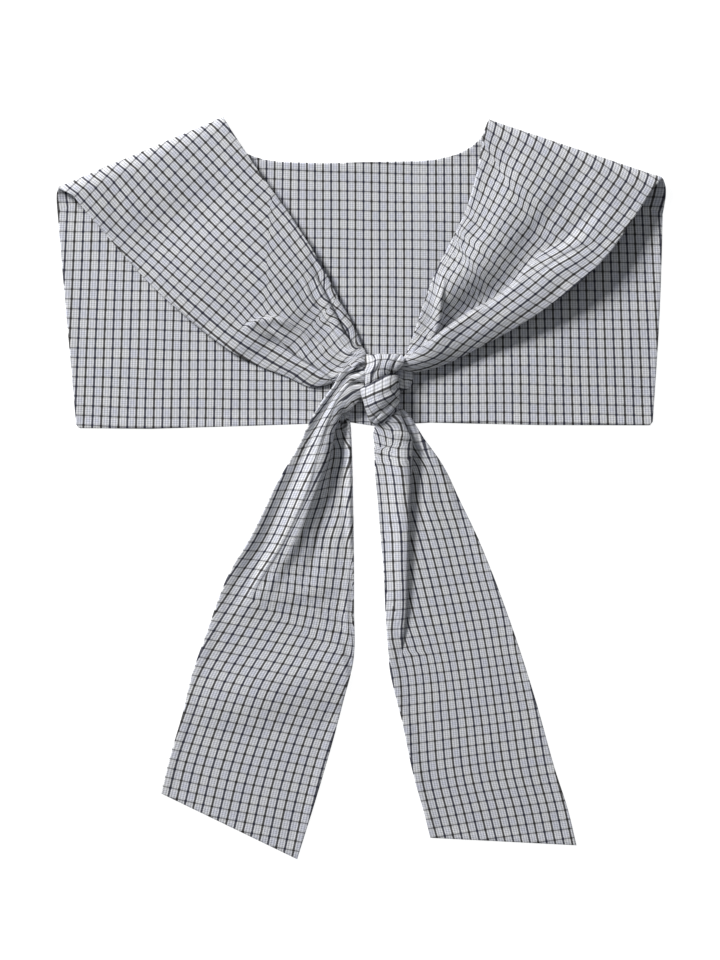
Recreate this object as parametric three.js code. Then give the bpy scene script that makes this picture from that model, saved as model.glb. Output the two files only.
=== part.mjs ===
// A checked cotton capelet, laid flat on its back, with its two long front ends tied in a knot.
// Units are millimetres. X runs to the right, Y up towards the neck and Z up off the surface
// that it lies on. The origin is the middle of its outline, on that surface.

import * as THREE from 'three';

// Driving dimensions
const WALL = 1.5; // two layers of cotton with the seam allowances between them
const GAP = 0.3; // clearance between two layers that touch
const PANEL_TOP = WALL + GAP; // lowest height of any layer that lies over the back panel
const HEM_Y = 48; // lower edge of the back panel
const HEM_DROP = 18; // length over which a tail sinks from the hem to the surface
const ROLL_DEPTH = 9; // how far the shoulder roll reaches in from the crease
const ROLL_STEPS = 5; // sections round the quarter turn of the shoulder roll
const STEEPEST = 2.4; // largest upright thickness of a steep wall, in wall thicknesses
const SLOPE_STEP = 0.5; // distance over which the slope of a wall is measured

// Cloth colours
const COTTON = { color: 0xc9c9cf, roughness: 0.92, metalness: 0 };
const COTTON_SHADED = { color: 0xbdbdc6, roughness: 0.92, metalness: 0 };

// Outline of the back panel. round is the corner radius, 0 where the edge just bends.
const BACK_OUTLINE = [
  { x: -239.5, y: 239.0, round: 9 },
  { x: -243.0, y: 229.0, round: 0 },
  { x: -239.6, y: 182.0, round: 0 },
  { x: -236.2, y: 150.0, round: 0 },
  { x: -226.8, y: 48.2, round: 3 },
  { x: -168.0, y: 47.4, round: 0 },
  { x: -88.0, y: 49.8, round: 0 },
  { x: -8.0, y: 53.0, round: 0 },
  { x: 12.0, y: 50.0, round: 0 },
  { x: 56.0, y: 52.4, round: 0 },
  { x: 144.0, y: 49.2, round: 0 },
  { x: 233.4, y: 50.0, round: 3 },
  { x: 236.6, y: 118.0, round: 0 },
  { x: 238.4, y: 150.0, round: 0 },
  { x: 240.6, y: 215.0, round: 0 },
  { x: 243.0, y: 230.0, round: 0 },
  { x: 241.4, y: 246.0, round: 5 },
  { x: 184.0, y: 265.4, round: 0 },
  { x: 103.2, y: 293.2, round: 4 },
  { x: 96.6, y: 277.6, round: 8 },
  { x: 78.0, y: 264.6, round: 30 },
  { x: 42.0, y: 260.4, round: 0 },
  { x: 2.0, y: 259.8, round: 0 },
  { x: -61.0, y: 259.6, round: 0 },
  { x: -92.0, y: 264.0, round: 30 },
  { x: -101.0, y: 277.0, round: 8 },
  { x: -109.0, y: 294.4, round: 3 },
  { x: -160.0, y: 273.2, round: 0 },
  { x: -224.0, y: 247.4, round: 0 },
];

// Each section crosses a piece from its outer edge to its inner edge. The heights are those of
// the underside, and crown is how much the middle stands above the line between the edges.
const LEFT_FRONT = [
  { outerX: -235.4, outerY: 241.2, outerZ: 13, innerX: -109.0, innerY: 294.0, innerZ: 8, crown: 1 },
  { outerX: -228.2, outerY: 234.0, outerZ: 13, innerX: -103.4, innerY: 286.0, innerZ: 8, crown: 1 },
  { outerX: -204.2, outerY: 204.4, outerZ: 9, innerX: -81.0, innerY: 250.8, innerZ: 8, crown: 2 },
  { outerX: -172.2, outerY: 168.4, outerZ: 7, innerX: -55.4, innerY: 214.8, innerZ: 8, crown: 3 },
  { outerX: -142.6, outerY: 140.4, outerZ: 6, innerX: -32.2, innerY: 178.0, innerZ: 8, crown: 4 },
  { outerX: -116.2, outerY: 118.8, outerZ: 6, innerX: -17.8, innerY: 150.0, innerZ: 8, crown: 4 },
  { outerX: -89.8, outerY: 102.0, outerZ: 6, innerX: -6.6, innerY: 130.0, innerZ: 8, crown: 5 },
  { outerX: -60.2, outerY: 91.0, outerZ: 6, innerX: 0.6, innerY: 112.4, innerZ: 8, crown: 6 },
  { outerX: -32.2, outerY: 82.4, outerZ: 6, innerX: 3.9, innerY: 106.2, innerZ: 8, crown: 7 },
  { outerX: -18.0, outerY: 85.6, outerZ: 7, innerX: 3.8, innerY: 101.4, innerZ: 9, crown: 7 },
  { outerX: -7.2, outerY: 94.8, outerZ: 8, innerX: 3.4, innerY: 97.8, innerZ: 9, crown: 4 },
];
const RIGHT_FRONT = [
  { outerX: 240.0, outerY: 247.0, outerZ: 14, innerX: 103.0, innerY: 293.2, innerZ: 8, crown: 1 },
  { outerX: 232.6, outerY: 237.2, outerZ: 14, innerX: 100.6, innerY: 286.8, innerZ: 8, crown: 1 },
  { outerX: 215.8, outerY: 213.2, outerZ: 12, innerX: 94.2, innerY: 252.4, innerZ: 8, crown: 2 },
  { outerX: 195.8, outerY: 186.8, outerZ: 10, innerX: 83.8, innerY: 218.0, innerZ: 9, crown: 2 },
  { outerX: 173.4, outerY: 164.0, outerZ: 9, innerX: 72.6, innerY: 193.2, innerZ: 9, crown: 3 },
  { outerX: 153.4, outerY: 147.6, outerZ: 9, innerX: 61.4, innerY: 172.4, innerZ: 9, crown: 3 },
  { outerX: 127.8, outerY: 130.8, outerZ: 9, innerX: 52.6, innerY: 150.0, innerZ: 9, crown: 4 },
  { outerX: 95.8, outerY: 113.2, outerZ: 9, innerX: 44.6, innerY: 125.2, innerZ: 9, crown: 4 },
  { outerX: 67.8, outerY: 99.6, outerZ: 9, innerX: 38.2, innerY: 112.4, innerZ: 10, crown: 4 },
  { outerX: 47.8, outerY: 93.6, outerZ: 8, innerX: 34.0, innerY: 107.2, innerZ: 11, crown: 4 },
  { outerX: 36.6, outerY: 95.0, outerZ: 8, innerX: 31.2, innerY: 102.2, innerZ: 11, crown: 3 },
  { outerX: 30.4, outerY: 94.4, outerZ: 8, innerX: 28.8, innerY: 96.8, innerZ: 10, crown: 1 },
];
const LEFT_TAIL = [
  { outerX: 3.0, outerY: 93.6, outerZ: 10, innerX: 1.9, innerY: 74.2, innerZ: 8, crown: 5 },
  { outerX: -7.6, outerY: 93.0, outerZ: 10, innerX: -4.0, innerY: 69.4, innerZ: 4, crown: 6 },
  { outerX: -17.8, outerY: 81.6, outerZ: 8, innerX: -8.8, innerY: 62.6, innerZ: 2, crown: 6 },
  { outerX: -28.6, outerY: 67.6, outerZ: 6, innerX: -8.6, innerY: 55.6, innerZ: 1.8, crown: 6 },
  { outerX: -40.2, outerY: 50.8, outerZ: 4, innerX: -7.8, innerY: 43.6, innerZ: 1.8, crown: 5 },
  { outerX: -47.4, outerY: 35.6, outerZ: 2.5, innerX: -7.4, innerY: 28.0, innerZ: 1, crown: 5 },
  { outerX: -63.4, outerY: 7.6, outerZ: 1, innerX: -6.3, innerY: -3.6, innerZ: 0, crown: 4 },
  { outerX: -87.4, outerY: -40.4, outerZ: 0, innerX: -5.4, innerY: -54.0, innerZ: 0, crown: 2.5 },
  { outerX: -105.0, outerY: -70.8, outerZ: 0, innerX: -4.5, innerY: -93.2, innerZ: 0, crown: 1 },
  { outerX: -122.6, outerY: -118.0, outerZ: 0, innerX: -6.6, innerY: -139.6, innerZ: 0, crown: 0 },
  { outerX: -133.4, outerY: -148.4, outerZ: 0, innerX: -13.2, innerY: -170.0, innerZ: 0, crown: 0 },
  { outerX: -142.9, outerY: -181.2, outerZ: 0, innerX: -22.6, innerY: -206.8, innerZ: 0, crown: 0 },
  { outerX: -151.4, outerY: -215.2, outerZ: 0, innerX: -36.0, innerY: -251.0, innerZ: 0, crown: 0 },
  { outerX: -157.8, outerY: -242.4, outerZ: 0, innerX: -50.8, innerY: -294.4, innerZ: 0, crown: 0 },
];
const RIGHT_TAIL = [
  { outerX: 31.2, outerY: 61.2, outerZ: 1.8, innerX: 13.2, innerY: 48.6, innerZ: 3, crown: 5 },
  { outerX: 39.0, outerY: 53.2, outerZ: 1.8, innerX: 11.6, innerY: 44.0, innerZ: 2, crown: 5 },
  { outerX: 51.0, outerY: 37.2, outerZ: 1.2, innerX: 12.0, innerY: 33.0, innerZ: 1.5, crown: 5 },
  { outerX: 67.0, outerY: 16.4, outerZ: 0.5, innerX: 12.6, innerY: 13.0, innerZ: 0.5, crown: 4 },
  { outerX: 79.8, outerY: -10.0, outerZ: 0, innerX: 15.0, innerY: -12.6, innerZ: 0, crown: 3 },
  { outerX: 91.0, outerY: -35.6, outerZ: 0, innerX: 17.0, innerY: -38.0, innerZ: 0, crown: 2 },
  { outerX: 105.4, outerY: -67.6, outerZ: 0, innerX: 19.0, innerY: -72.0, innerZ: 0, crown: 1 },
  { outerX: 118.2, outerY: -102.0, outerZ: 0, innerX: 21.4, innerY: -110.0, innerZ: 0, crown: 0.5 },
  { outerX: 129.4, outerY: -134.0, outerZ: 0, innerX: 23.4, innerY: -146.0, innerZ: 0, crown: 0 },
  { outerX: 142.2, outerY: -174.0, outerZ: 0, innerX: 33.4, innerY: -188.0, innerZ: 0, crown: 0 },
  { outerX: 156.6, outerY: -228.0, outerZ: 0, innerX: 44.4, innerY: -234.0, innerZ: 0, crown: 0 },
  { outerX: 165.4, outerY: -258.4, outerZ: 0, innerX: 51.8, innerY: -260.0, innerZ: 0, crown: 0 },
  { outerX: 171.4, outerY: -284.0, outerZ: 0, innerX: 56.6, innerY: -277.8, innerZ: 0, crown: 0 },
];
const TOP_WRAP = [
  { outerX: 5.0, outerY: 105.6, outerZ: 3, innerX: 31.4, innerY: 105.4, innerZ: 3, crown: 2 },
  { outerX: 4.6, outerY: 103.8, outerZ: 8, innerX: 30.8, innerY: 103.4, innerZ: 8, crown: 7 },
  { outerX: 4.2, outerY: 100.0, outerZ: 9, innerX: 29.4, innerY: 99.4, innerZ: 8, crown: 9 },
  { outerX: 3.6, outerY: 92.0, outerZ: 10, innerX: 27.4, innerY: 95.6, innerZ: 8, crown: 8 },
  { outerX: 3.0, outerY: 80.2, outerZ: 10, innerX: 25.0, innerY: 91.6, innerZ: 8, crown: 7 },
];
const FRONT_WRAP = [
  { outerX: 12.0, outerY: 51.4, outerZ: 1.8, innerX: 1.6, innerY: 77.2, innerZ: 4, crown: 2 },
  { outerX: 13.2, outerY: 51.0, outerZ: 6, innerX: 3.0, innerY: 78.4, innerZ: 10, crown: 8 },
  { outerX: 17.0, outerY: 51.8, outerZ: 8, innerX: 8.0, innerY: 81.6, innerZ: 14, crown: 10 },
  { outerX: 22.0, outerY: 56.0, outerZ: 8, innerX: 17.4, innerY: 86.6, innerZ: 15, crown: 9 },
  { outerX: 26.6, outerY: 62.4, outerZ: 7, innerX: 25.0, innerY: 90.4, innerZ: 12, crown: 7 },
  { outerX: 29.8, outerY: 69.6, outerZ: 1.8, innerX: 28.8, innerY: 87.6, innerZ: 4, crown: 3 },
];
const SIDE_LOOP = [
  { outerX: 30.6, outerY: 93.4, outerZ: 7, innerX: 44.0, innerY: 92.4, innerZ: 6, crown: 3 },
  { outerX: 29.5, outerY: 87.4, outerZ: 6, innerX: 41.0, innerY: 86.0, innerZ: 4, crown: 4 },
  { outerX: 30.4, outerY: 80.4, outerZ: 1.8, innerX: 38.2, innerY: 79.0, innerZ: 1.8, crown: 3 },
];

// Each fold is a ridge along a straight line seen from above, or a valley where rise is below
// zero. width is the distance from its line at which a third of it is left.
const LEFT_FRONT_FOLDS = [
  { fromX: -64, fromY: 122, toX: -46, toY: 102, rise: 2.5, width: 5 },
  { fromX: -86, fromY: 132, toX: -46, toY: 110, rise: -2.5, width: 6 },
  { fromX: -48, fromY: 180, toX: -14, toY: 110, rise: 2.5, width: 5 },
  { fromX: -26, fromY: 160, toX: -8, toY: 114, rise: -2.5, width: 5 },
];
const RIGHT_FRONT_FOLDS = [
  { fromX: 160, fromY: 246, toX: 80, toY: 146, rise: -3, width: 12 },
  { fromX: 120, fromY: 246, toX: 52, toY: 122, rise: 2.5, width: 9 },
  { fromX: 68, fromY: 158, toX: 60, toY: 124, rise: 2, width: 5 },
  { fromX: 144, fromY: 162, toX: 42, toY: 100, rise: 3, width: 8 },
  { fromX: 184, fromY: 191, toX: 140, toY: 180, rise: -2, width: 5 },
];
const LEFT_TAIL_FOLDS = [
  { fromX: -22, fromY: 62, toX: -108, toY: -98, rise: 5, width: 9 },
  { fromX: -14, fromY: 52, toX: -34, toY: -44, rise: -4, width: 8 },
  { fromX: -10, fromY: 50, toX: -10, toY: -10, rise: 2, width: 3 },
  { fromX: -110, fromY: -74, toX: -116, toY: -122, rise: 2, width: 5 },
];
const RIGHT_TAIL_FOLDS = [
  { fromX: 27, fromY: 52, toX: 31, toY: -92, rise: 5, width: 8 },
  { fromX: 42, fromY: 40, toX: 38, toY: -118, rise: -4, width: 6 },
  { fromX: 50, fromY: 34, toX: 90, toY: -110, rise: 3, width: 12 },
  { fromX: 34, fromY: -134, toX: 58, toY: -136, rise: 1.5, width: 5 },
];

// Cuts of each piece: steps along it and across it, and how full its arched section is
const CUTS = {
  front: { steps: 22, across: 18, fullness: 2.4 },
  tail: { steps: 28, across: 14, fullness: 2 },
  wrap: { steps: 12, across: 10, fullness: 2.6 },
};

// Value of a smooth curve through the rows' column at a distance along them
function curveThrough(places, values, at) {
  const last = places.length - 1;
  let row = 0;
  while (row < last - 1 && at > places[row + 1]) {
    row += 1;
  }
  const slopeAt = (i) => {
    const before = Math.max(i - 1, 0);
    const after = Math.min(i + 1, last);
    return (values[after] - values[before]) / (places[after] - places[before]);
  };
  const span = places[row + 1] - places[row];
  const t = (at - places[row]) / span;
  const rise = values[row + 1] - values[row];
  const startSlope = slopeAt(row) * span;
  const endSlope = slopeAt(row + 1) * span;
  const cubic = startSlope + endSlope - 2 * rise;
  const square = 3 * rise - 2 * startSlope - endSlope;
  return values[row] + t * (startSlope + t * (square + t * cubic));
}

// Distance of each section along the line through the middles of the sections
function sectionPlaces(sections) {
  const places = [0];
  for (let i = 1; i < sections.length; i += 1) {
    const now = sections[i];
    const before = sections[i - 1];
    const dx = (now.outerX + now.innerX - before.outerX - before.innerX) / 2;
    const dy = (now.outerY + now.innerY - before.outerY - before.innerY) / 2;
    places.push(places[i - 1] + Math.hypot(dx, dy));
  }
  return places;
}

// Height that a fold adds at a point, fading out over the ends of its line
function foldRise(fold, x, y) {
  const lineX = fold.toX - fold.fromX;
  const lineY = fold.toY - fold.fromY;
  const length = Math.hypot(lineX, lineY);
  const along = ((x - fold.fromX) * lineX + (y - fold.fromY) * lineY) / (length * length);
  const aside = ((x - fold.fromX) * lineY - (y - fold.fromY) * lineX) / length;
  const fade = THREE.MathUtils.smoothstep(along, -0.1, 0.15) * (1 - THREE.MathUtils.smoothstep(along, 0.85, 1.1));
  return fold.rise * fade * Math.exp(-((aside / fold.width) ** 2));
}

// Lowest height that a layer can have at a distance up the page: on the surface below the hem,
// and on the back panel above it
function restHeight(y) {
  return PANEL_TOP * THREE.MathUtils.smoothstep(y, HEM_Y - HEM_DROP, HEM_Y - 2);
}

// A cloth wall through a table of sections, with folds over it. A rolled wall starts with the
// quarter turn of a crease, where it comes up off the layer below.
function clothWall({ sections, folds, cuts, rolled }) {
  const places = sectionPlaces(sections);
  const length = places[places.length - 1];
  const column = (name, at) => curveThrough(places, sections.map((row) => row[name]), at);

  const rollFactor = (at) => {
    if (!rolled || at >= ROLL_DEPTH) {
      return 1;
    }
    return Math.sqrt(1 - (1 - at / ROLL_DEPTH) ** 2);
  };
  const sectionAt = (at) => {
    const names = ['outerX', 'outerY', 'outerZ', 'innerX', 'innerY', 'innerZ', 'crown'];
    const section = { roll: rollFactor(at) };
    for (const name of names) {
      section[name] = column(name, at);
    }
    return section;
  };
  const pointOn = (section, part) => {
    const x = THREE.MathUtils.lerp(section.outerX, section.innerX, part);
    const y = THREE.MathUtils.lerp(section.outerY, section.innerY, part);
    const arch = section.crown * (1 - Math.abs(2 * part - 1) ** cuts.fullness);
    const folded = folds.reduce((sum, fold) => sum + foldRise(fold, x, y), 0);
    const lift = THREE.MathUtils.lerp(section.outerZ, section.innerZ, part) + arch + folded;
    const rest = restHeight(y);
    const z = rest + Math.max(lift - rest, 0) * section.roll;
    return new THREE.Vector3(x, y, z);
  };

  const stations = [];
  if (rolled) {
    for (let i = 0; i < ROLL_STEPS; i += 1) {
      stations.push(ROLL_DEPTH * (1 - Math.cos((i / ROLL_STEPS) * Math.PI / 2)));
    }
  }
  const first = rolled ? ROLL_DEPTH : 0;
  for (let i = 0; i <= cuts.steps; i += 1) {
    stations.push(first + (length - first) * (i / cuts.steps));
  }

  const under = [];
  const over = [];
  for (const at of stations) {
    const section = sectionAt(at);
    const ahead = sectionAt(Math.min(at + SLOPE_STEP, length));
    const behind = sectionAt(Math.max(at - SLOPE_STEP, 0));
    const breadth = Math.hypot(section.innerX - section.outerX, section.innerY - section.outerY);
    const side = SLOPE_STEP / breadth;
    for (let j = 0; j <= cuts.across; j += 1) {
      const part = j / cuts.across;
      const point = pointOn(section, part);
      const alongStep = pointOn(ahead, part).sub(pointOn(behind, part));
      const acrossStep = pointOn(section, Math.min(part + side, 1))
        .sub(pointOn(section, Math.max(part - side, 0)));
      const normal = acrossStep.cross(alongStep).normalize();
      const upright = Math.min(1 / Math.max(Math.abs(normal.z), 1e-6), STEEPEST);
      under.push(point);
      over.push(point.clone().setZ(point.z + WALL * upright));
    }
  }
  return closedWall(under, over, stations.length, cuts.across + 1);
}

// Closed body between an underside and a top, both grids of rows times columns
function closedWall(under, over, rows, columns) {
  const count = rows * columns;
  const index = [];
  const cell = (a, b, c, d) => index.push(a, b, c, a, c, d);
  for (let i = 0; i < rows - 1; i += 1) {
    for (let j = 0; j < columns - 1; j += 1) {
      const a = i * columns + j;
      const b = a + columns;
      cell(a, a + 1, b + 1, b);
      cell(count + a, count + b, count + b + 1, count + a + 1);
    }
  }
  for (let i = 0; i < rows - 1; i += 1) {
    const a = i * columns;
    const b = a + columns;
    const lastA = a + columns - 1;
    const lastB = b + columns - 1;
    cell(a, b, count + b, count + a);
    cell(lastB, lastA, count + lastA, count + lastB);
  }
  for (let j = 0; j < columns - 1; j += 1) {
    const end = (rows - 1) * columns + j;
    cell(j + 1, j, count + j, count + j + 1);
    cell(end, end + 1, count + end + 1, count + end);
  }
  const geometry = new THREE.BufferGeometry();
  geometry.setFromPoints([...under, ...over]);
  geometry.setIndex(index);
  if (signedVolume(geometry) < 0) {
    for (let i = 0; i < index.length; i += 3) {
      [index[i + 1], index[i + 2]] = [index[i + 2], index[i + 1]];
    }
    geometry.setIndex(index);
  }
  return geometry;
}

// Volume inside a closed geometry, below zero where its faces point inwards
function signedVolume(geometry) {
  const position = geometry.getAttribute('position');
  const corners = geometry.index.array;
  const corner = (i) => new THREE.Vector3().fromBufferAttribute(position, corners[i]);
  let volume = 0;
  for (let i = 0; i < corners.length; i += 3) {
    volume += corner(i).dot(corner(i + 1).cross(corner(i + 2))) / 6;
  }
  return volume;
}

// Outline with its corners rounded where the row gives a radius
function outlineShape(rows) {
  const shape = new THREE.Shape();
  rows.forEach((row, i) => {
    const corner = new THREE.Vector2(row.x, row.y);
    const before = rows[(i + rows.length - 1) % rows.length];
    const after = rows[(i + 1) % rows.length];
    const back = new THREE.Vector2(before.x, before.y).sub(corner).setLength(row.round);
    const ahead = new THREE.Vector2(after.x, after.y).sub(corner).setLength(row.round);
    const start = corner.clone().add(back);
    const end = corner.clone().add(ahead);
    if (i === 0) {
      shape.moveTo(start.x, start.y);
    } else {
      shape.lineTo(start.x, start.y);
    }
    if (row.round > 0) {
      shape.quadraticCurveTo(corner.x, corner.y, end.x, end.y);
    }
  });
  return shape;
}

// The flat plate of cloth between the hem, the neckline and the two shoulder creases
function backPanel() {
  return new THREE.ExtrudeGeometry(outlineShape(BACK_OUTLINE), {
    depth: WALL,
    bevelEnabled: false,
    curveSegments: 5,
  });
}

function addPiece(group, name, geometry, finish) {
  const mesh = new THREE.Mesh(geometry, new THREE.MeshStandardMaterial(finish));
  mesh.name = name;
  group.add(mesh);
}

const capelet = new THREE.Group();
capelet.name = 'capelet';

addPiece(capelet, 'back_panel', backPanel(), COTTON);

const walls = [
  { name: 'left_front', sections: LEFT_FRONT, folds: LEFT_FRONT_FOLDS, cuts: CUTS.front, rolled: true },
  { name: 'right_front', sections: RIGHT_FRONT, folds: RIGHT_FRONT_FOLDS, cuts: CUTS.front, rolled: true },
  { name: 'left_tail', sections: LEFT_TAIL, folds: LEFT_TAIL_FOLDS, cuts: CUTS.tail, rolled: false },
  { name: 'right_tail', sections: RIGHT_TAIL, folds: RIGHT_TAIL_FOLDS, cuts: CUTS.tail, rolled: false },
  { name: 'knot_top_wrap', sections: TOP_WRAP, folds: [], cuts: CUTS.wrap, rolled: false },
  { name: 'knot_front_wrap', sections: FRONT_WRAP, folds: [], cuts: CUTS.wrap, rolled: false },
  { name: 'knot_side_loop', sections: SIDE_LOOP, folds: [], cuts: CUTS.wrap, rolled: false },
];
for (const wall of walls) {
  addPiece(capelet, wall.name, clothWall(wall), wall.name.startsWith('knot') ? COTTON_SHADED : COTTON);
}

// The tables are read to a few tenths, so the outline is centred over the origin here
const bounds = new THREE.Box3().setFromObject(capelet);
const middle = bounds.getCenter(new THREE.Vector3());
capelet.position.set(-middle.x, -middle.y, -bounds.min.z);

export default capelet;
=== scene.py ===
"""A checked cotton capelet laid flat on its back, its two long front ends tied in a knot.

Lengths in the tables are millimetres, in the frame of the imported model: X to the right, Y up
towards the neck and Z up off the floor. The cloth carries its own flat coordinates, counted in
checks, so that the woven pattern follows every roll, pleat and crease.
"""
import logging
import math
from dataclasses import dataclass
from enum import Enum
from typing import Any, ClassVar, Sequence

import bpy
import numpy as np
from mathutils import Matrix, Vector


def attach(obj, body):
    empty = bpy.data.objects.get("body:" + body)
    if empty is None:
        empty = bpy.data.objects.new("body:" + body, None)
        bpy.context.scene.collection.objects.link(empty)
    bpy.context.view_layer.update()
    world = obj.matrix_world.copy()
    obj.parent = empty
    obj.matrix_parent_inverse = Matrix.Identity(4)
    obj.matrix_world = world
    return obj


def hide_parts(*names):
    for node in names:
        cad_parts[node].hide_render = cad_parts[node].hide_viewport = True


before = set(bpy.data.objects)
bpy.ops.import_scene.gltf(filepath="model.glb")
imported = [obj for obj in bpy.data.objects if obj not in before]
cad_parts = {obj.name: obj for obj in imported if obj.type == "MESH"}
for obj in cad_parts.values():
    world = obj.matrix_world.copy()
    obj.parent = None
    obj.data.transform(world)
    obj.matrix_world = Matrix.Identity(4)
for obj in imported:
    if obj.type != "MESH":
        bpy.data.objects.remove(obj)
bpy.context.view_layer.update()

LOG = logging.getLogger("capelet")

Array = np.ndarray
Rows = np.ndarray
Colour = tuple[float, float, float, float]
Span = tuple[float, float]

MM = 0.001
WEAVE_MAP = "Weave"
COTTON = "checked_cotton"
KNOT_COTTON = "knot_cotton"

# One check across the warp stripes and one along them.
WARP_PITCH = 6.75
WEFT_PITCH = 7.64
# The wall in the open and at the seam round every edge, and the seam's reach from the edge.
WALL = 1.3
SEAM_WALL = 1.9
SEAM_REACH = 6.0
# The least air under a piece, and the angles at which the wall's round rim has its rings.
FLOOR_GAP = 0.05
RIM_ANGLES = (30.0, 60.0, 90.0)


def columns(*names: str) -> np.dtype:
    """A row type with one number under each name."""
    return np.dtype([(name, float) for name in names])


def rows(kind: np.dtype, *values: Sequence[float]) -> Rows:
    """A table whose rows hold the values under the names of its kind, and 0 for those left out."""
    width = len(kind.names)
    return np.array([tuple(value) + (0.0,) * (width - len(value)) for value in values], dtype=kind)


def plain(table: Rows) -> Array:
    """The columns of a table side by side, without their names."""
    return np.stack([table[name] for name in table.dtype.names], axis=1)


def travelled(line: Array) -> Array:
    """Distance of each point along a line: the sum of the steps before it."""
    return np.concatenate([[0.0], np.cumsum(np.linalg.norm(np.diff(line, axis=0), axis=1))])


def resample(line: Array, count: int) -> Array:
    """Points at even steps along a line, with its corners where they are.

    Args:
        line: the points that the line runs through.
        count: how many points are asked for.

    Returns:
        The points.
    """
    places = travelled(line)
    at = np.linspace(0.0, places[-1], count)
    return np.stack([np.interp(at, places, line[:, k]) for k in range(line.shape[1])], axis=1)


def smooth_through(places: Array, values: Array, at: Array) -> Array:
    """Carries the columns of a table smoothly through its rows.

    Between two rows the value is a cubic. Its slope at a row is the mean of the slopes on both
    sides, each weighted by the length of the other side.

    Args:
        places: distance of each row, increasing.
        values: one row of values for each place.
        at: the distances that are asked for.

    Returns:
        One row of values for each distance.
    """
    step = np.diff(places)
    between = np.diff(values, axis=0) / step[:, None]
    weight = (step[:-1] + step[1:])[:, None]
    inner = (between[:-1] * step[1:, None] + between[1:] * step[:-1, None]) / weight
    slope = np.concatenate([between[:1], inner, between[-1:]])
    cell = np.clip(np.searchsorted(places, at, side="right") - 1, 0, len(step) - 1)
    width = step[cell][:, None]
    x = (at - places[cell])[:, None] / width
    near = (1 + 2 * x) * (1 - x) ** 2 * values[cell] + x * (1 - x) ** 2 * width * slope[cell]
    far = x * x * (3 - 2 * x) * values[cell + 1] - x * x * (1 - x) * width * slope[cell + 1]
    return near + far


def smooth_step(x: Array) -> Array:
    """Goes from 0 to 1 as x does, level at both ends: x^2 (3 - 2 x)."""
    x = np.clip(x, 0.0, 1.0)
    return x * x * (3 - 2 * x)


def blend(first: Array, second: Array, share: Array) -> Array:
    """A straight line from the first to the second: first (1 - share) + second share."""
    return first * (1 - share) + second * share


def unit(vectors: Array) -> Array:
    """The vectors over their lengths."""
    return vectors / np.maximum(np.linalg.norm(vectors, axis=-1, keepdims=True), 1e-9)


def surface_normals(points: Array) -> Array:
    """The direction square to both ways of a grid: their cross product at length one."""
    return unit(np.cross(np.gradient(points, axis=0), np.gradient(points, axis=1)))


def colour(red: float, green: float, blue: float) -> Colour:
    """A colour in linear light, opaque."""
    return (red, green, blue, 1.0)


# A section crosses a strip of cloth from its outer edge to its inner edge. stripe_0 to
# stripe_4 are the dark warp stripe's number at the outer edge, at each quarter and at the
# inner edge. crown is how far the middle stands above the line between the edges.
SECTION = columns(
    "outer_x", "outer_y", "outer_z", "inner_x", "inner_y", "inner_z", "crown",
    "stripe_0", "stripe_1", "stripe_2", "stripe_3", "stripe_4",
)
OUTER, INNER, CROWN, STRIPES = slice(0, 3), slice(3, 6), slice(6, 7), slice(7, 12)

# A fold runs through the rows of a path. rise is its height there, below zero for a valley, and
# hidden is how many stripes it swallows on its steeper side.
PATH = columns("x", "y", "rise", "hidden")

# A point of the back panel's outline.
EDGE = columns("x", "y")


@dataclass(frozen=True, eq=False)
class Fold:
    """One fold of the cloth along a path.

    left and right are its half widths beside the way that it runs. lean pushes its top over its
    steeper side. reach is how far to each side it draws the stripes in, or 0 where the section
    table already leaves the hidden stripes out. The stripes pass at FOOT half widths from the
    path, within PASSING half widths.
    """

    path: Rows
    left: float
    right: float
    lean: float
    reach: float

    SAMPLES: ClassVar[int] = 120
    END_FADE: ClassVar[float] = 5.0
    FOOT: ClassVar[float] = 0.9
    PASSING: ClassVar[float] = 0.4

    def _line(self) -> tuple[Array, Array]:
        """Follows the path smoothly.

        Returns:
            Samples of its four columns, and the directions along it.
        """
        table = plain(self.path)
        places = travelled(table[:, :2])
        line = smooth_through(places, table, np.linspace(0.0, places[-1], self.SAMPLES))
        return line, unit(np.gradient(line[:, :2], axis=0))

    def shape(self, x: Array, y: Array) -> tuple[Array, Array, Array, Array]:
        """What the fold does to the cloth.

        The height is the rise times exp(-(distance / half width) squared). The stripes that it
        swallows pass in one step at the foot of its steeper side, (1 + tanh) / 2 of the distance.

        Args:
            x: X of the points.
            y: Y of the points.

        Returns:
            Height, sideways shift, count of hidden stripes and the step that they pass in, which
            goes from 0 on the right of the path to 1 on its left.
        """
        line, ways = self._line()
        flat = np.stack([x.ravel(), y.ravel()], axis=1)
        gap = (flat[:, 0:1] - line[:, 0]) ** 2 + (flat[:, 1:2] - line[:, 1]) ** 2
        nearest = np.argmin(gap, axis=1)
        way = ways[nearest]
        off = flat - line[nearest, :2]
        side = way[:, 0] * off[:, 1] - way[:, 1] * off[:, 0]
        ahead = np.sum(way * off, axis=1)
        before = (nearest == 0) & (ahead < 0)
        after = (nearest == self.SAMPLES - 1) & (ahead > 0)
        fade = np.exp(-((np.where(before | after, ahead, 0.0) / self.END_FADE) ** 2))
        bump = np.exp(-((side / np.where(side > 0, self.left, self.right)) ** 2)) * fade
        steep = -1.0 if self.right < self.left else 1.0
        narrow = min(self.left, self.right)
        foot = side - steep * narrow * self.FOOT

        def passed(width: float) -> Array:
            """Share of the stripes that have passed, when they pass within a width."""
            return 0.5 + 0.5 * np.tanh(foot / width)

        step = passed(self.PASSING * narrow)
        if self.reach > 0:
            step = step - passed(self.reach)
        left_way = np.stack([-way[:, 1], way[:, 0]], axis=1)
        shift = left_way * (steep * self.lean * bump**2)[:, None]
        height = line[nearest, 2] * bump
        hidden = line[nearest, 3] * fade
        shift = shift.reshape(*x.shape, 2)
        return height.reshape(x.shape), shift, hidden.reshape(x.shape), step.reshape(x.shape)


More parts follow.
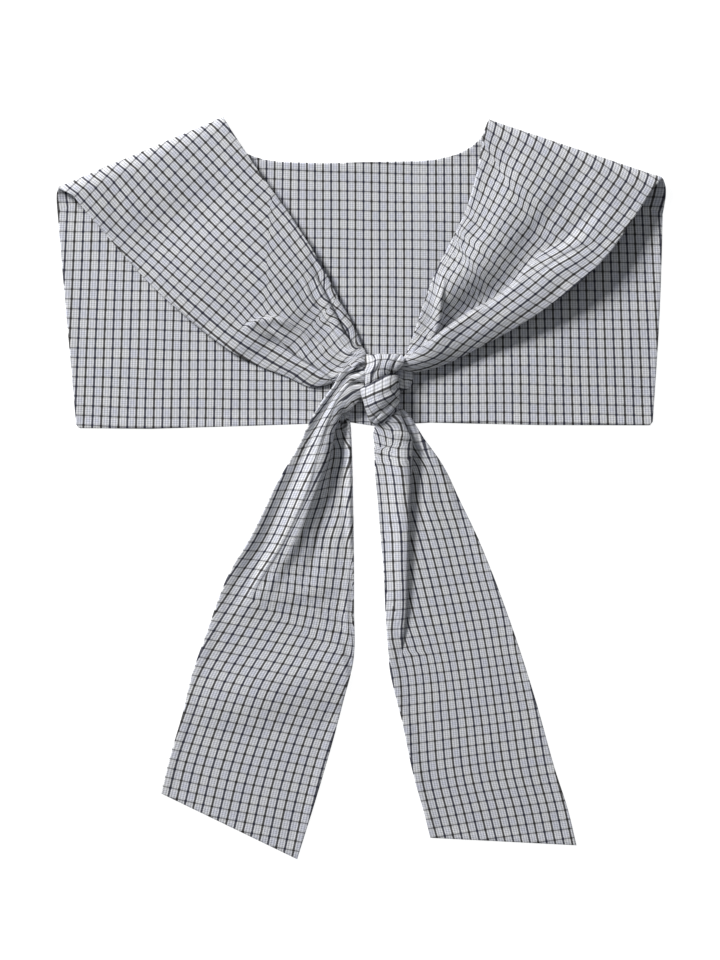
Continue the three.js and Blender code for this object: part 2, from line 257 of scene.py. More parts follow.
def fold(
    left: float, right: float, *path: Sequence[float], lean: float = 0.0, reach: float = 0.0
) -> Fold:
    """A fold from its half widths and its path, whose rows are x, y, rise and hidden."""
    return Fold(rows(PATH, *path), left, right, lean, reach)


LEFT_FRONT: Rows = rows(
    SECTION,
    (-240.2, 239.6, 13.0, -109.8, 295.2, 8.0, 1.0, -37.8, -32.9, -28.1, -23.2, -18.3),
    (-228.2, 233.2, 13.0, -104.6, 286.0, 8.0, 1.0, -37.4, -32.8, -28.1, -23.5, -18.9),
    (-204.2, 204.4, 9.0, -81.0, 250.8, 8.0, 2.0, -37.7, -33.1, -28.8, -24.4, -19.9),
    (-172.2, 168.4, 7.0, -55.4, 214.8, 8.0, 3.0, -38.5, -34.1, -29.6, -25.4, -21.2),
    (-142.6, 140.4, 6.0, -32.2, 178.0, 8.0, 3.5, -38.4, -34.9, -30.5, -26.6, -22.0),
    (-116.2, 118.8, 5.0, -17.8, 150.0, 5.5, 3.4, -38.3, -35.3, -31.5, -27.6, -23.6),
    (-89.8, 102.0, 3.6, -6.6, 130.0, 4.6, 3.4, -38.0, -35.9, -33.1, -30.0, -26.6),
    (-60.2, 90.0, 3.0, 0.6, 112.4, 5.0, 4.0, -37.6, -35.9, -33.7, -30.9, -28.6),
    (-32.2, 80.8, 2.8, 3.8, 106.0, 7.0, 4.5, -37.1, -35.8, -34.1, -32.1, -29.9),
    (-17.8, 86.0, 4.0, 3.8, 101.2, 8.5, 5.5, -37.1, -35.8, -34.2, -32.3, -30.4),
    (-7.4, 94.8, 8.0, 3.4, 98.0, 9.0, 4.0, -37.1, -35.8, -34.2, -32.3, -30.4),
)
RIGHT_FRONT: Rows = rows(
    SECTION,
    (239.8, 247.2, 14.0, 103.0, 293.2, 8.0, 1.0, 34.6, 29.6, 24.6, 19.4, 14.2),
    (231.8, 237.2, 14.0, 99.4, 283.6, 8.0, 1.0, 33.9, 29.1, 24.4, 19.2, 13.9),
    (215.8, 213.2, 15.0, 94.2, 252.4, 8.0, 2.0, 33.9, 29.6, 25.2, 20.2, 15.3),
    (195.8, 185.2, 17.0, 83.8, 218.0, 9.0, 2.0, 34.6, 30.2, 26.1, 21.8, 16.4),
    (175.8, 165.2, 17.0, 72.6, 194.8, 9.0, 3.0, 35.0, 31.8, 27.6, 23.3, 19.1),
    (153.4, 147.6, 15.0, 61.4, 172.4, 9.0, 3.0, 34.9, 32.2, 28.9, 24.9, 21.1),
    (127.8, 130.8, 11.5, 53.4, 152.4, 9.0, 4.0, 34.7, 32.3, 29.5, 26.0, 21.8),
    (95.8, 113.2, 7.5, 44.6, 127.6, 9.0, 4.0, 33.8, 31.9, 30.4, 28.3, 25.2),
    (67.8, 99.6, 7.0, 38.2, 112.4, 10.0, 4.0, 32.6, 31.4, 30.2, 29.0, 27.6),
    (47.8, 93.6, 8.0, 34.2, 106.8, 11.0, 4.0, 32.3, 31.4, 30.4, 29.3, 28.2),
    (36.6, 93.2, 8.0, 31.0, 102.8, 11.0, 3.0, 32.2, 31.4, 30.5, 29.6, 28.6),
    (30.2, 95.6, 8.0, 28.6, 98.0, 10.0, 1.0, 32.2, 31.4, 30.5, 29.6, 28.6),
)
LEFT_TAIL: Rows = rows(
    SECTION,
    (3.8, 97.6, 10.0, 1.9, 73.2, 9.0, 3.0, -3.2, -2.8, -2.3, -0.9, -0.1),
    (-8.2, 96.4, 9.0, -4.0, 68.4, 9.0, 3.0, -3.9, -2.5, -1.6, -0.9, 0.3),
    (-21.0, 80.0, 8.0, -9.0, 61.2, 7.5, 3.0, -3.5, -2.0, -1.1, -0.3, 1.2),
    (-30.6, 67.2, 8.5, -8.8, 54.8, 2.4, 3.2, -3.5, -1.8, -0.2, 1.5, 1.8),
    (-40.2, 50.8, 9.0, -8.4, 43.6, 1.8, 3.0, -2.9, -1.5, 1.0, 3.1, 4.8),
    (-47.4, 35.6, 8.0, -7.7, 28.0, 1.4, 3.2, -2.4, -1.0, 0.9, 3.0, 5.0),
    (-63.4, 7.6, 6.5, -6.9, -3.6, 0.8, 2.4, -3.2, -0.8, 1.5, 3.7, 6.4),
    (-87.4, -40.4, 4.5, -6.0, -54.0, 0.3, 0.8, -3.5, -0.3, 3.4, 6.5, 9.4),
    (-105.0, -70.8, 2.6, -5.9, -93.2, 0.2, 0.4, -3.1, 0.7, 4.4, 8.2, 11.9),
    (-122.6, -118.0, 0.6, -6.6, -139.6, 0.0, 0.0, -1.4, 2.5, 6.7, 11.1, 15.5),
    (-133.4, -148.4, 0.0, -14.2, -170.0, 0.0, 0.0, -0.7, 3.5, 7.8, 12.0, 16.4),
    (-141.3, -181.2, 0.0, -24.0, -206.8, 0.0, 0.0, -0.1, 4.2, 8.4, 12.7, 17.1),
    (-151.4, -215.2, 0.0, -37.0, -251.0, 0.0, 0.0, 0.2, 4.4, 8.6, 12.8, 17.0),
    (-158.6, -244.0, 0.0, -51.0, -296.0, 0.0, 0.0, 0.2, 4.3, 8.4, 12.4, 16.5),
)
RIGHT_TAIL: Rows = rows(
    SECTION,
    (31.2, 61.2, 5.0, 13.2, 50.4, 6.0, 5.0, 5.5, 6.2, 7.1, 8.2, 9.4),
    (39.0, 53.2, 4.0, 11.6, 45.6, 4.0, 5.0, 5.3, 6.3, 7.5, 8.8, 10.1),
    (49.9, 37.2, 1.8, 12.0, 33.0, 2.0, 5.0, 4.9, 6.1, 7.6, 9.2, 10.8),
    (65.6, 16.4, 1.0, 12.6, 13.0, 1.0, 3.0, 3.6, 6.0, 8.3, 10.4, 12.6),
    (78.5, -10.0, 0.4, 15.0, -12.4, 0.3, 1.9, 2.9, 5.3, 7.8, 10.3, 12.9),
    (91.0, -35.6, 0.0, 17.0, -38.0, 0.0, 1.3, 2.1, 5.0, 7.9, 10.6, 13.4),
    (104.3, -67.6, 0.0, 19.8, -72.0, 0.0, 0.8, 1.1, 4.6, 8.0, 11.2, 14.6),
    (117.1, -102.0, 0.0, 21.4, -110.0, 0.0, 0.4, 0.5, 4.4, 8.2, 11.9, 15.6),
    (128.0, -134.0, 0.0, 24.6, -146.0, 0.0, 0.0, -0.5, 4.0, 8.2, 12.7, 17.0),
    (140.4, -174.0, 0.0, 34.5, -188.0, 0.0, 0.0, -1.1, 3.1, 7.4, 11.6, 15.8),
    (155.6, -228.0, 0.0, 44.4, -234.0, 0.0, 0.0, -1.9, 2.2, 6.4, 10.6, 14.8),
    (165.4, -258.4, 0.0, 51.8, -260.0, 0.0, 0.0, -2.2, 2.0, 6.2, 10.4, 14.6),
    (171.8, -285.2, 0.0, 56.6, -279.3, 0.0, 0.0, -2.3, 1.9, 6.2, 10.4, 14.7),
)
TOP_WRAP: Rows = rows(
    SECTION,
    (5.4, 103.6, 4.0, 31.8, 103.6, 4.0, 2.0, 0.1, 1.2, 2.4, 3.2, 4.1),
    (4.8, 105.5, 9.0, 32.2, 105.8, 11.0, 4.0, 0.1, 1.2, 2.4, 3.2, 4.1),
    (4.4, 102.8, 13.0, 34.2, 102.4, 15.5, 5.0, 0.0, 1.0, 2.5, 3.6, 4.6),
    (4.6, 97.2, 14.5, 33.8, 99.2, 17.0, 5.0, 0.0, 0.9, 2.6, 3.9, 4.7),
    (4.6, 90.8, 14.5, 30.2, 94.8, 17.0, 4.5, 0.3, 1.2, 2.4, 3.6, 4.6),
    (4.6, 84.4, 13.5, 26.6, 92.0, 16.0, 4.0, 0.4, 1.2, 2.1, 3.0, 4.0),
    (4.6, 79.2, 12.0, 24.6, 89.6, 13.5, 3.5, 0.5, 1.2, 2.0, 2.8, 3.8),
    (5.0, 74.8, 8.0, 23.8, 83.6, 10.0, 3.0, 0.5, 1.2, 2.0, 2.8, 3.8),
)
FRONT_WRAP: Rows = rows(
    SECTION,
    (8.6, 54.0, 3.0, 1.0, 76.8, 4.0, 1.0, 4.5, 3.6, 2.8, 1.9, 1.1),
    (7.4, 53.6, 8.0, 0.2, 77.8, 10.0, 4.0, 4.5, 3.6, 2.8, 1.9, 1.1),
    (11.0, 52.4, 11.0, 2.6, 79.1, 15.0, 7.0, 4.7, 3.8, 2.9, 1.9, 1.1),
    (17.4, 52.0, 13.5, 7.0, 81.2, 18.0, 7.5, 5.1, 4.2, 3.1, 2.0, 1.0),
    (24.2, 58.4, 14.5, 14.6, 85.5, 18.5, 6.5, 5.2, 3.9, 2.8, 1.8, 1.0),
    (29.0, 65.6, 14.0, 22.2, 89.7, 17.5, 5.0, 5.0, 3.5, 2.5, 1.6, 1.0),
    (31.0, 70.8, 9.0, 29.0, 89.4, 13.0, 4.0, 4.4, 3.5, 2.7, 1.9, 1.1),
    (31.2, 72.4, 4.0, 30.6, 85.2, 5.0, 1.0, 4.3, 3.4, 2.8, 1.9, 1.2),
)
SIDE_LOOP: Rows = rows(
    SECTION,
    (28.6, 81.2, 5.0, 27.0, 93.2, 7.0, 1.0, 3.1, 2.7, 2.2, 1.6, 1.0),
    (30.6, 78.8, 6.5, 30.2, 94.6, 8.0, 2.0, 3.1, 2.7, 2.2, 1.6, 1.0),
    (34.2, 78.4, 6.0, 35.0, 94.2, 7.5, 3.0, 3.0, 2.6, 2.0, 1.5, 1.0),
    (38.2, 80.4, 4.5, 40.2, 93.4, 5.5, 3.0, 2.8, 2.3, 1.9, 1.4, 0.9),
    (40.8, 84.4, 3.2, 42.4, 92.4, 3.8, 1.5, 2.1, 1.9, 1.6, 1.3, 1.0),
    (39.8, 85.2, 2.4, 41.0, 90.8, 2.6, 0.5, 2.1, 1.8, 1.5, 1.3, 1.0),
)
LEFT_FRONT_FOLDS: tuple[Fold, ...] = (
    fold(  # fine tuck
        1.1, 2.0, (-48.2, 172.4), (-44.2, 162.8, 0.88, 0.1), (-39.4, 150.8, 1.12, 0.3),
        (-29.0, 134.0, 1.25, 0.3), (-18.6, 118.0, 1.38, 0.3), (-11.4, 108.4, 1.38, 0.3),
        (1.4, 102.0, 1.25, 0.3), lean=0.3,
    ),
    fold(  # crease beside the inner edge
        1.2, 6.0, (-37.0, 167.6), (-25.8, 147.6, 3.4, 1.6), (-18.6, 132.4, 4.4, 2.4),
        (-12.6, 120.4, 4, 3.2), (-6.6, 113.2, 3, 3.9), (2.2, 104.4, 2, 4.4), lean=1.0,
    ),
    fold(  # dark slot
        1.4, 2.2, (-41.8, 190.0), (-33.8, 171.6, -1.8), (-25.4, 150.0, -3), (-17.8, 134.0, -3.4),
        (-11.0, 122.0, -3.2), (-4.2, 113.2, -2.4), (3.0, 104.4, -1.2),
    ),
    fold(  # rolled inner edge
        3.0, 2.4, (-26.6, 162.8), (-16.2, 142.0, 1.2), (-8.2, 126.0, 1.2), (0.6, 106.8, 1),
    ),
    fold(  # pinch where the stripes turn level
        1.6, 3.0, (-96.2, 124.4), (-81.8, 132.4, 1.2, 0.9), (-67.4, 134.0, 1.4, 0.6),
        (-51.4, 126.0), lean=0.6, reach=13.0,
    ),
    fold(  # upper crease into the knot
        2.0, 3.4, (-78.6, 134.8), (-62.6, 133.2, 1.5, 0.8), (-48.2, 124.4, 1.5, 1.4),
        (-37.0, 115.6, 0.75, 1.3), (-25.8, 109.2, 1.75, 1.2), (-14.6, 102.0, 2, 1.2),
        (-0.2, 97.2, 2.25, 1.2), lean=0.3,
    ),
    fold(  # shaded valley
        6.0, 5.0, (-88.2, 124.4), (-70.6, 116.4, -3), (-54.6, 106.8, -3.4), (-41.8, 98.8, -2.8),
        (-24.2, 90.8, -1.6),
    ),
    fold(  # ridge beside it
        5.0, 1.6, (-72.2, 127.6), (-63.4, 119.6, 2.4, 0.2), (-54.6, 110.0, 2.8, 0.5),
        (-41.0, 101.2, 3, 1.5), (-30.6, 94.8, 2.8, 2.2), (-21.0, 87.6, 2.8, 2.6), lean=0.6,
    ),
    fold(  # two short creases at the knot
        1.6, 1.6, (-15.4, 111.6), (-11.4, 108.0, 2, 0.2), (-1.8, 103.6, 2.5, 0.2), lean=0.2,
    ),
    fold(  # the lower of them
        1.6, 1.6, (-14.6, 104.4), (-8.2, 102.4, 2, 0.2), (0.6, 99.6, 2.5, 0.3), lean=0.2,
    ),
    fold(  # soft rise before the pinch
        20.0, 9.0, (-128.2, 106.8), (-93.0, 114.8, 1.6), (-61.0, 134.0, 1.6), (-33.8, 156.4),
    ),
    fold(  # broad hollow below the shoulder
        22.0, 24.0, (-200.2, 180.4), (-168.2, 198.0, -2.2), (-131.4, 220.4, -2.2), (-96.2, 246.0),
    ),
)
RIGHT_FRONT_FOLDS: tuple[Fold, ...] = (
    fold(  # broad shaded valley
        7.0, 16.0, (195.0, 234.8), (179.0, 215.6, -3), (161.4, 198.0, -4.2), (143.8, 183.6, -3.4),
        (121.4, 161.2),
    ),
    fold(  # slack between valley and ridge
        10.0, 8.0, (180.6, 262.0), (166.2, 238.0, -1.7), (151.0, 217.2, -2.0), (131.0, 194.8, -1.6),
        (113.4, 175.6),
    ),
    fold(  # bright ridge
        16.0, 10.0, (140.6, 270.0), (126.2, 238.0, 1.5), (110.2, 212.4, 2.4), (95.8, 190.0, 2.8),
        (82.2, 169.2, 3.4), (70.2, 150.0, 3.8), (59.0, 127.6, 4), (45.4, 113.2, 2.5),
    ),
    fold(  # crease left of the ridge
        9.0, 4.0, (127.8, 270.0), (108.6, 238.0, 0.6), (87.8, 209.2, 0.8, 0.4),
        (78.2, 191.6, 1, 1.3), (68.6, 172.4, 1, 1.6), (62.2, 150.0, 1, 2.0), (52.6, 126.0, 1, 2.2),
        (41.4, 113.2, 0.8, 3.0), lean=0.4,
    ),
    fold(  # second pleat
        1.5, 4.0, (71.0, 185.2), (67.0, 162.8, 1.4), (65.0, 150.0, 3.6, 0.4),
        (64.2, 138.8, 4.4, 0.8), (61.4, 128.4, 3.8, 0.6), (55.0, 118.8, 1), lean=0.3,
    ),
    fold(  # deep pocket beside the roll
        1.8, 16.0, (159.8, 198.0), (150.2, 191.6, -1.5, 0.5), (142.2, 186.8, -3, 0.9),
        (131.8, 176.4, -5, 1.8), (120.6, 162.8, -7, 2.9), (107.8, 151.6, -8.8, 3.9),
        (87.8, 141.2, -10, 6.2), (67.0, 127.6, -10.5, 7.6), (54.2, 117.2, -9, 9.0),
        (33.4, 103.6, -6, 10.0),
    ),
    fold(  # upper pinch
        2.6, 2.2, (188.6, 193.2), (171.0, 188.4, -1, 0.5), (156.6, 180.4, -1.5, 0.5),
        (137.4, 166.0), lean=0.3, reach=12.0,
    ),
    fold(  # round back of the roll
        9.0, 8.0, (183.8, 190.0), (159.8, 172.4, 0.4), (131.0, 146.8, 1.4), (99.0, 124.4, 1.6),
        (67.0, 108.4, 0.8), (38.2, 98.8),
    ),
)
LEFT_TAIL_FOLDS: tuple[Fold, ...] = (
    fold(  # first lobe
        3.0, 2.0, (4.6, 97.2, 2), (-7.4, 96.4, 3), (-19.4, 84.4, 3), (-31.4, 66.8, 2.5),
        (-43.4, 47.6, 1),
    ),
    fold(  # crease beside the bright edge
        1.6, 7.0, (1.4, 93.2, -2), (-7.4, 87.6, -2.2), (-17.0, 78.0, -2.6), (-23.4, 68.4, -3),
        (-29.0, 57.2, -3.6), (-34.6, 45.2, -4), (-41.0, 32.4, -3), (-48.2, 17.2),
    ),
    fold(  # bright edge
        2.0, 1.3, (4.6, 90.8, 0.8), (-4.2, 89.2, 1.0), (-9.0, 84.4, 1.0), (-14.6, 77.2, 1.0),
        (-20.2, 69.2, 1.1), (-23.4, 62.8, 1.1), (-27.4, 54.0, 1.0), (-32.2, 42.8, 0.8),
        (-37.0, 31.6),
    ),
    fold(  # crease under it
        1.6, 1.8, (4.6, 82.8, -3), (-1.8, 82.8, -3.4), (-8.2, 81.6, -1.6), (-14.6, 75.2, -0.8),
        (-21.8, 64.4, -0.4), (-26.6, 50.8),
    ),
    fold(  # lower lobe
        2.0, 8.0, (4.6, 70.8, 0.2), (-1.8, 69.2, 0.8), (-9.0, 64.4, 1.6), (-15.4, 60.0, 3.2),
        (-20.2, 54.8, 3), (-23.8, 46.0),
    ),
    fold(  # crest from the lower lobe
        6.0, 10.0, (-17.8, 62.0), (-23.0, 53.2, 3.0), (-26.6, 39.6, 5.9), (-33.0, 15.6, 5.9),
        (-41.0, -10.0, 5.3), (-48.2, -30.0, 4.7), (-55.4, -48.4, 3.6), (-66.6, -67.6, 2.2),
        (-81.8, -91.6, 0.2),
    ),
    fold(  # drop under the lower lobe
        6.0, 1.6, (-1.8, 62.8), (-9.8, 58.0, -1.5), (-16.2, 53.2, -3.5), (-21.0, 41.2, -3),
        (-24.2, 25.2, -1.5), (-28.2, 9.2),
    ),
    fold(  # crease under the crest
        2.0, 5.5, (4.6, 70.0, -0.5, 7.2), (-5.8, 63.6, -0.5, 6.9), (-15.4, 58.0, -0.5, 5.6),
        (-21.0, 50.0, -0.5, 4.4), (-23.8, 38.0, -0.5, 3.5), (-32.2, 10.8, -0.5, 3.1),
        (-41.0, -10.0, -0.5, 2.4), (-49.0, -30.0, -0.5, 1.7), (-57.0, -46.8, 0, 0.7),
        (-67.4, -64.4), (-85.0, -90.0), lean=1.0,
    ),
    fold(  # fine tuck on the lit face
        1.6, 2.4, (1.4, 90.8, 0.3, 2.0), (-13.8, 78.0, 0.4, 2.0), (-20.2, 69.2, 0.5, 2.0),
        (-24.2, 61.2, 0.6, 2.0), (-27.8, 52.4, 0.8, 2.0), (-31.4, 41.2, 1.0, 2.0),
        (-35.4, 28.4, 1.1, 2.0), (-41.0, 6.0, 1.25, 2.0), (-55.4, -28.4, 1.25, 2.0),
        (-63.4, -44.4, 1.5, 2.0), (-69.8, -55.6, 1.5, 1.8), (-78.6, -69.2, 1.25, 1.1),
        (-89.8, -88.4), lean=0.2,
    ),
    fold(  # grey strip falls to this crease
        6.0, 9.0, (-37.8, 38.0), (-45.8, 22.0, -2.8), (-61.0, -10.0, -3.2), (-74.6, -42.0, -3.3),
        (-92.2, -75.6, -2.6), (-112.2, -107.6),
    ),
    fold(  # dark valley floor
        8.0, 5.0, (-13.8, 58.8, -3), (-17.8, 38.0, -5.2), (-21.0, 14.0, -5.4), (-24.2, -10.0, -4.4),
        (-29.8, -34.0, -2.5), (-37.8, -58.0, -1.5), (-48.2, -82.0),
    ),
    fold(  # light strip at the right edge
        2.0, 2.4, (-9.8, 50.8, 4), (-9.2, -10.0, 4), (-7.4, -62.8),
    ),
    fold(  # rolled right edge
        2.6, 4.0, (-9.8, -58.0), (-10.2, -83.6, 0.7, 2.0), (-11.0, -99.6, 1.3, 2.0),
        (-9.0, -125.2, 0.7, 0.3), (-8.2, -134.8),
    ),
    fold(  # soft swell across
        14.0, 8.0, (-107.4, -99.6), (-78.6, -90.0, 1.0), (-48.2, -83.6, 1.3), (-12.2, -77.2, 0.7),
    ),
    fold(  # soft wave across
        28.0, 26.0, (-139.4, -176.4, 1.2), (-78.6, -163.6, 3.2), (-12.2, -150.8, 3.2),
    ),
)
RIGHT_TAIL_FOLDS: tuple[Fold, ...] = (
    fold(  # flap's free edge
        1.8, 13.0, (24.6, 65.2, 3, 7.2), (31.8, 50.0, 4, 7.2), (38.2, 38.0, 4.8, 6.5),
        (38.6, 17.2, 5.6, 4.8), (37.4, -14.0, 5.6, 4.4), (36.6, -38.0, 5.6, 3.9),
        (35.8, -67.6, 5.3, 2.7), (34.6, -99.6, 4.2, 1.6), (32.6, -122.0, 2.0, 0.4), (31.8, -134.8),
        lean=1.0,
    ),
    fold(  # flap's face
        5.0, 7.0, (22.2, 60.4, 1.5), (28.6, 42.8, 2.2), (32.6, 30.0, 2.4), (32.2, 6.0, 1.3),
        (31.4, -26.0, 1.0), (29.8, -67.6, 0.8), (28.6, -99.6, 0.6), (27.8, -126.0),
    ),
    fold(  # kink in the flap
        2.0, 2.0, (25.4, 46.0), (32.6, 41.2, 1.6), (39.0, 37.2, 1), lean=0.2,
    ),
    fold(  # dark valley
        7.0, 3.0, (39.0, 46.0, -2), (42.2, 30.0, -4), (42.2, 6.0, -4), (42.6, -14.0, -3.7),
        (43.8, -42.0, -3.7), (43.8, -74.0, -3.4), (41.8, -106.0, -2.2), (37.4, -130.0),
    ),
    fold(  # strip that comes round from behind
        4.0, 4.0, (28.6, 68.4, 3.75), (38.2, 54.0, 4.25), (51.0, 34.8, 3.8), (62.2, 17.2, 2.6),
        (81.4, -34.0),
    ),
    fold(  # dent below the flap
        3.0, 3.0, (28.6, -134.0), (43.0, -134.8, -1.5, 0.3), (60.6, -134.8), reach=8.0,
    ),
    fold(  # soft dent
        6.0, 5.0, (55.8, -128.4), (53.4, -147.6, -1.62), (54.2, -170.0),
    ),
    fold(  # shaded right slope
        8.0, 12.0, (81.4, -42.0), (103.8, -106.0, -1), (121.4, -162.0),
    ),
)
TOP_WRAP_FOLDS: tuple[Fold, ...] = (
    fold(  # left pleat
        1.2, 2.0, (14.6, 103.6, 0.8), (13.8, 98.8, 1.8, 0.2), (10.2, 92.4, 1.6, 0.2),
        (8.6, 87.6, 1.0, 0.1), (7.8, 79.6), lean=0.5,
    ),
    fold(  # dark pleat
        1.0, 1.0, (32.2, 106.0, -1.2), (28.6, 100.8, -2.4), (25.8, 94.8, -2.4), (23.4, 89.2, -1.2),
    ),
    fold(  # hollow between them
        2.2, 2.2, (19.0, 105.2), (18.6, 97.2, -0.3), (17.4, 87.6, -0.3),
    ),
    fold(  # left hollow
        1.2, 1.2, (9.4, 105.2, -0.6), (11.4, 102.8, -0.8), (13.4, 102.0),
    ),
)
FRONT_WRAP_FOLDS: tuple[Fold, ...] = (
    fold(  # deep crease
        1.1, 1.1, (9.4, 58.0), (15.8, 61.2, -0.8), (22.2, 64.8, -2.2), (29.4, 71.6, -2.2),
    ),
    fold(  # shallow hollow
        2.2, 2.2, (3.0, 67.6, -0.3), (17.4, 73.2, -0.8), (28.6, 79.6, -1.0),
    ),
    fold(  # short crease
        0.9, 0.9, (11.8, 54.8, -0.8), (14.2, 57.2, -1.4), (16.6, 59.6, -0.4),
    ),
    fold(  # lower lobe
        1.4, 1.4, (15.8, 55.6, 0.4), (22.2, 60.8, 1.0), (28.6, 68.4, 0.8),
    ),
)
SIDE_LOOP_FOLDS: tuple[Fold, ...] = (
    fold(  # upper crease
        1.2, 1.2, (28.6, 89.2, -1.0), (33.4, 86.8, -1.6), (40.6, 85.5, -0.8),
    ),
)

# Where the back panel's cloth meets the foot of each shoulder roll, from side to neck.
LEFT_FOOT = rows(EDGE, (-241.4, 221.2), (-105.0, 285.2))
RIGHT_FOOT = rows(EDGE, (241.0, 218.8), (100.2, 284.4))
NECKLINE = rows(
    EDGE,
    (-105.0, 285.2), (-99.0, 276.0), (-93.8, 267.6), (-86.6, 264.4), (-76.2, 261.2),
    (-61.0, 259.4), (-26.6, 258.4), (2.2, 259.4), (42.2, 260.0), (59.0, 261.0),
    (77.8, 265.6), (89.4, 272.0), (95.0, 277.2), (100.2, 284.4),
)
HEM = rows(
    EDGE,
    (-226.8, 48.4), (-168.0, 47.8), (-88.0, 50.2), (-8.0, 53.0), (12.0, 50.0),
    (56.0, 52.8), (144.0, 50.8), (233.4, 50.6),
)


@dataclass(frozen=True)
class Ripples:
    """Small crumples of the cloth, each a short low ridge or hollow in a seeded place."""

    seed: int
    count: int = 40
    length: float = 26.0
    width: float = 5.0
    height: float = 0.22
    heading: float = 0.0
    spread: float = 0.6

    LENGTHS: ClassVar[Span] = (0.5, 1.5)
    WIDTHS: ClassVar[Span] = (0.6, 1.6)

    def height_at(self, x: Array, y: Array) -> Array:
        """Sum of the crumples: height times exp(-(along/length)^2 - (beside/width)^2).

        Args:
            x: X of the points.
            y: Y of the points.

        Returns:
            The height at each point.
        """
        draw = np.random.default_rng(self.seed)
        centre_x = draw.uniform(x.min(), x.max(), self.count)
        centre_y = draw.uniform(y.min(), y.max(), self.count)
        turn = self.heading + draw.normal(0.0, self.spread, self.count)
        length = self.length * draw.uniform(*self.LENGTHS, self.count)
        width = self.width * draw.uniform(*self.WIDTHS, self.count)
        height = self.height * draw.normal(0.0, 1.0, self.count)
        off_x = x[..., None] - centre_x
        off_y = y[..., None] - centre_y
        ahead = off_x * np.cos(turn) + off_y * np.sin(turn)
        beside = off_y * np.cos(turn) - off_x * np.sin(turn)
        return np.sum(height * np.exp(-((ahead / length) ** 2) - (beside / width) ** 2), axis=-1)


class Value:
    """A number in a shader, with the arithmetic signs that make its Math nodes."""

    def __init__(self, wiring: "Wiring", socket: bpy.types.NodeSocket) -> None:
        """Wraps an output socket.

        Args:
            wiring: the node tree's builder.
            socket: the output to wrap.
        """
        self.wiring = wiring
        self.socket = socket

    def _math(self, operation: str, *others: "Value | float") -> "Value":
        """A Math node on this value and the others."""
        return self.wiring.math(operation, self, *others)

    def __add__(self, other: "Value | float") -> "Value":
        """Sum."""
        return self._math("ADD", other)

    __radd__ = __add__

    def __sub__(self, other: "Value | float") -> "Value":
        """Difference."""
        return self._math("SUBTRACT", other)

    def __rsub__(self, other: float) -> "Value":
        """Number less this value."""
        return self.wiring.math("SUBTRACT", other, self)

    def __mul__(self, other: "Value | float") -> "Value":
        """Product."""
        return self._math("MULTIPLY", other)

    __rmul__ = __mul__

    def __neg__(self) -> "Value":
        """Opposite value."""
        return self._math("MULTIPLY", -1.0)

    def distance_to_whole(self) -> "Value":
        """Distance to the nearest whole number: |value - round(value)|."""
        return (self - self._math("ROUND"))._math("ABSOLUTE")

    def floor(self) -> "Value":
        """The whole number at or below the value."""
        return self._math("FLOOR")

    def sine(self) -> "Value":
        """Sine of the value in radians."""
        return self._math("SINE")

    def above(self, limit: float) -> "Value":
        """1 where the value is over the limit, 0 elsewhere."""
        return self._math("GREATER_THAN", limit)

    def larger(self, other: "Value | float") -> "Value":
        """The larger of two values."""
        return self._math("MAXIMUM", other)

    def falling(self, start: float, end: float) -> "Value":
        """A mask that falls smoothly as the value grows.

        Args:
            start: the value below which it is 1.
            end: the value above which it is 0.

        Returns:
            The mask.
        """
        mapped = self.wiring.node(
            "ShaderNodeMapRange",
            {"interpolation_type": "SMOOTHSTEP", "clamp": True},
            {"Value": self, "From Min": start, "From Max": end, "To Min": 1.0, "To Max": 0.0},
        )
        return Value(self.wiring, mapped.outputs["Result"])


class Wiring:
    """Builds the nodes of one material."""

    def __init__(self, name: str) -> None:
        """Makes a material with an empty tree.

        Args:
            name: the material's name.
        """
        self.material = bpy.data.materials.new(name)
        self.material.use_nodes = True
        self.tree = self.material.node_tree
        self.tree.nodes.clear()

    def node(
        self, kind: str, settings: dict[str, Any] | None = None, inputs: dict[Any, Any] | None = None
    ) -> bpy.types.Node:
        """Adds any node.

        Args:
            kind: the node's type.
            settings: its options, which are set first.
            inputs: a number, colour, Value or output socket for each input, by name or place.

        Returns:
            The node.
        """
        made = self.tree.nodes.new(kind)
        for name, setting in (settings or {}).items():
            setattr(made, name, setting)
        for name, given in (inputs or {}).items():
            source = given.socket if isinstance(given, Value) else given
            if isinstance(source, bpy.types.NodeSocket):
                self.tree.links.new(source, made.inputs[name])
            else:
                made.inputs[name].default_value = source
        return made

    def math(self, operation: str, *values: "Value | float") -> Value:
        """A Math node on up to two values."""
        made = self.node("ShaderNodeMath", {"operation": operation}, dict(enumerate(values)))
        return Value(self, made.outputs[0])

    def mix(self, share: "Value | float", first: Any, second: Any) -> bpy.types.NodeSocket:
        """The colour that is first at share 0 and second at share 1."""
        made = self.node("ShaderNodeMix", {"data_type": "RGBA"}, {0: share, 6: first, 7: second})
        return made.outputs[2]

    def scaled(self, colour: Any, by: Value) -> bpy.types.NodeSocket:
        """A colour made lighter or darker by a value."""
        made = self.node("ShaderNodeVectorMath", {"operation": "SCALE"}, {0: colour, "Scale": by})
        return made.outputs[0]

    def finish(self, inputs: dict[str, Any]) -> bpy.types.Material:
        """Ends the tree in a surface.

        Args:
            inputs: the surface's inputs by name.

        Returns:
            The material.
        """
        surface = self.node("ShaderNodeBsdfPrincipled", None, inputs)
        self.node("ShaderNodeOutputMaterial", None, {0: surface.outputs[0]})
        return self.material


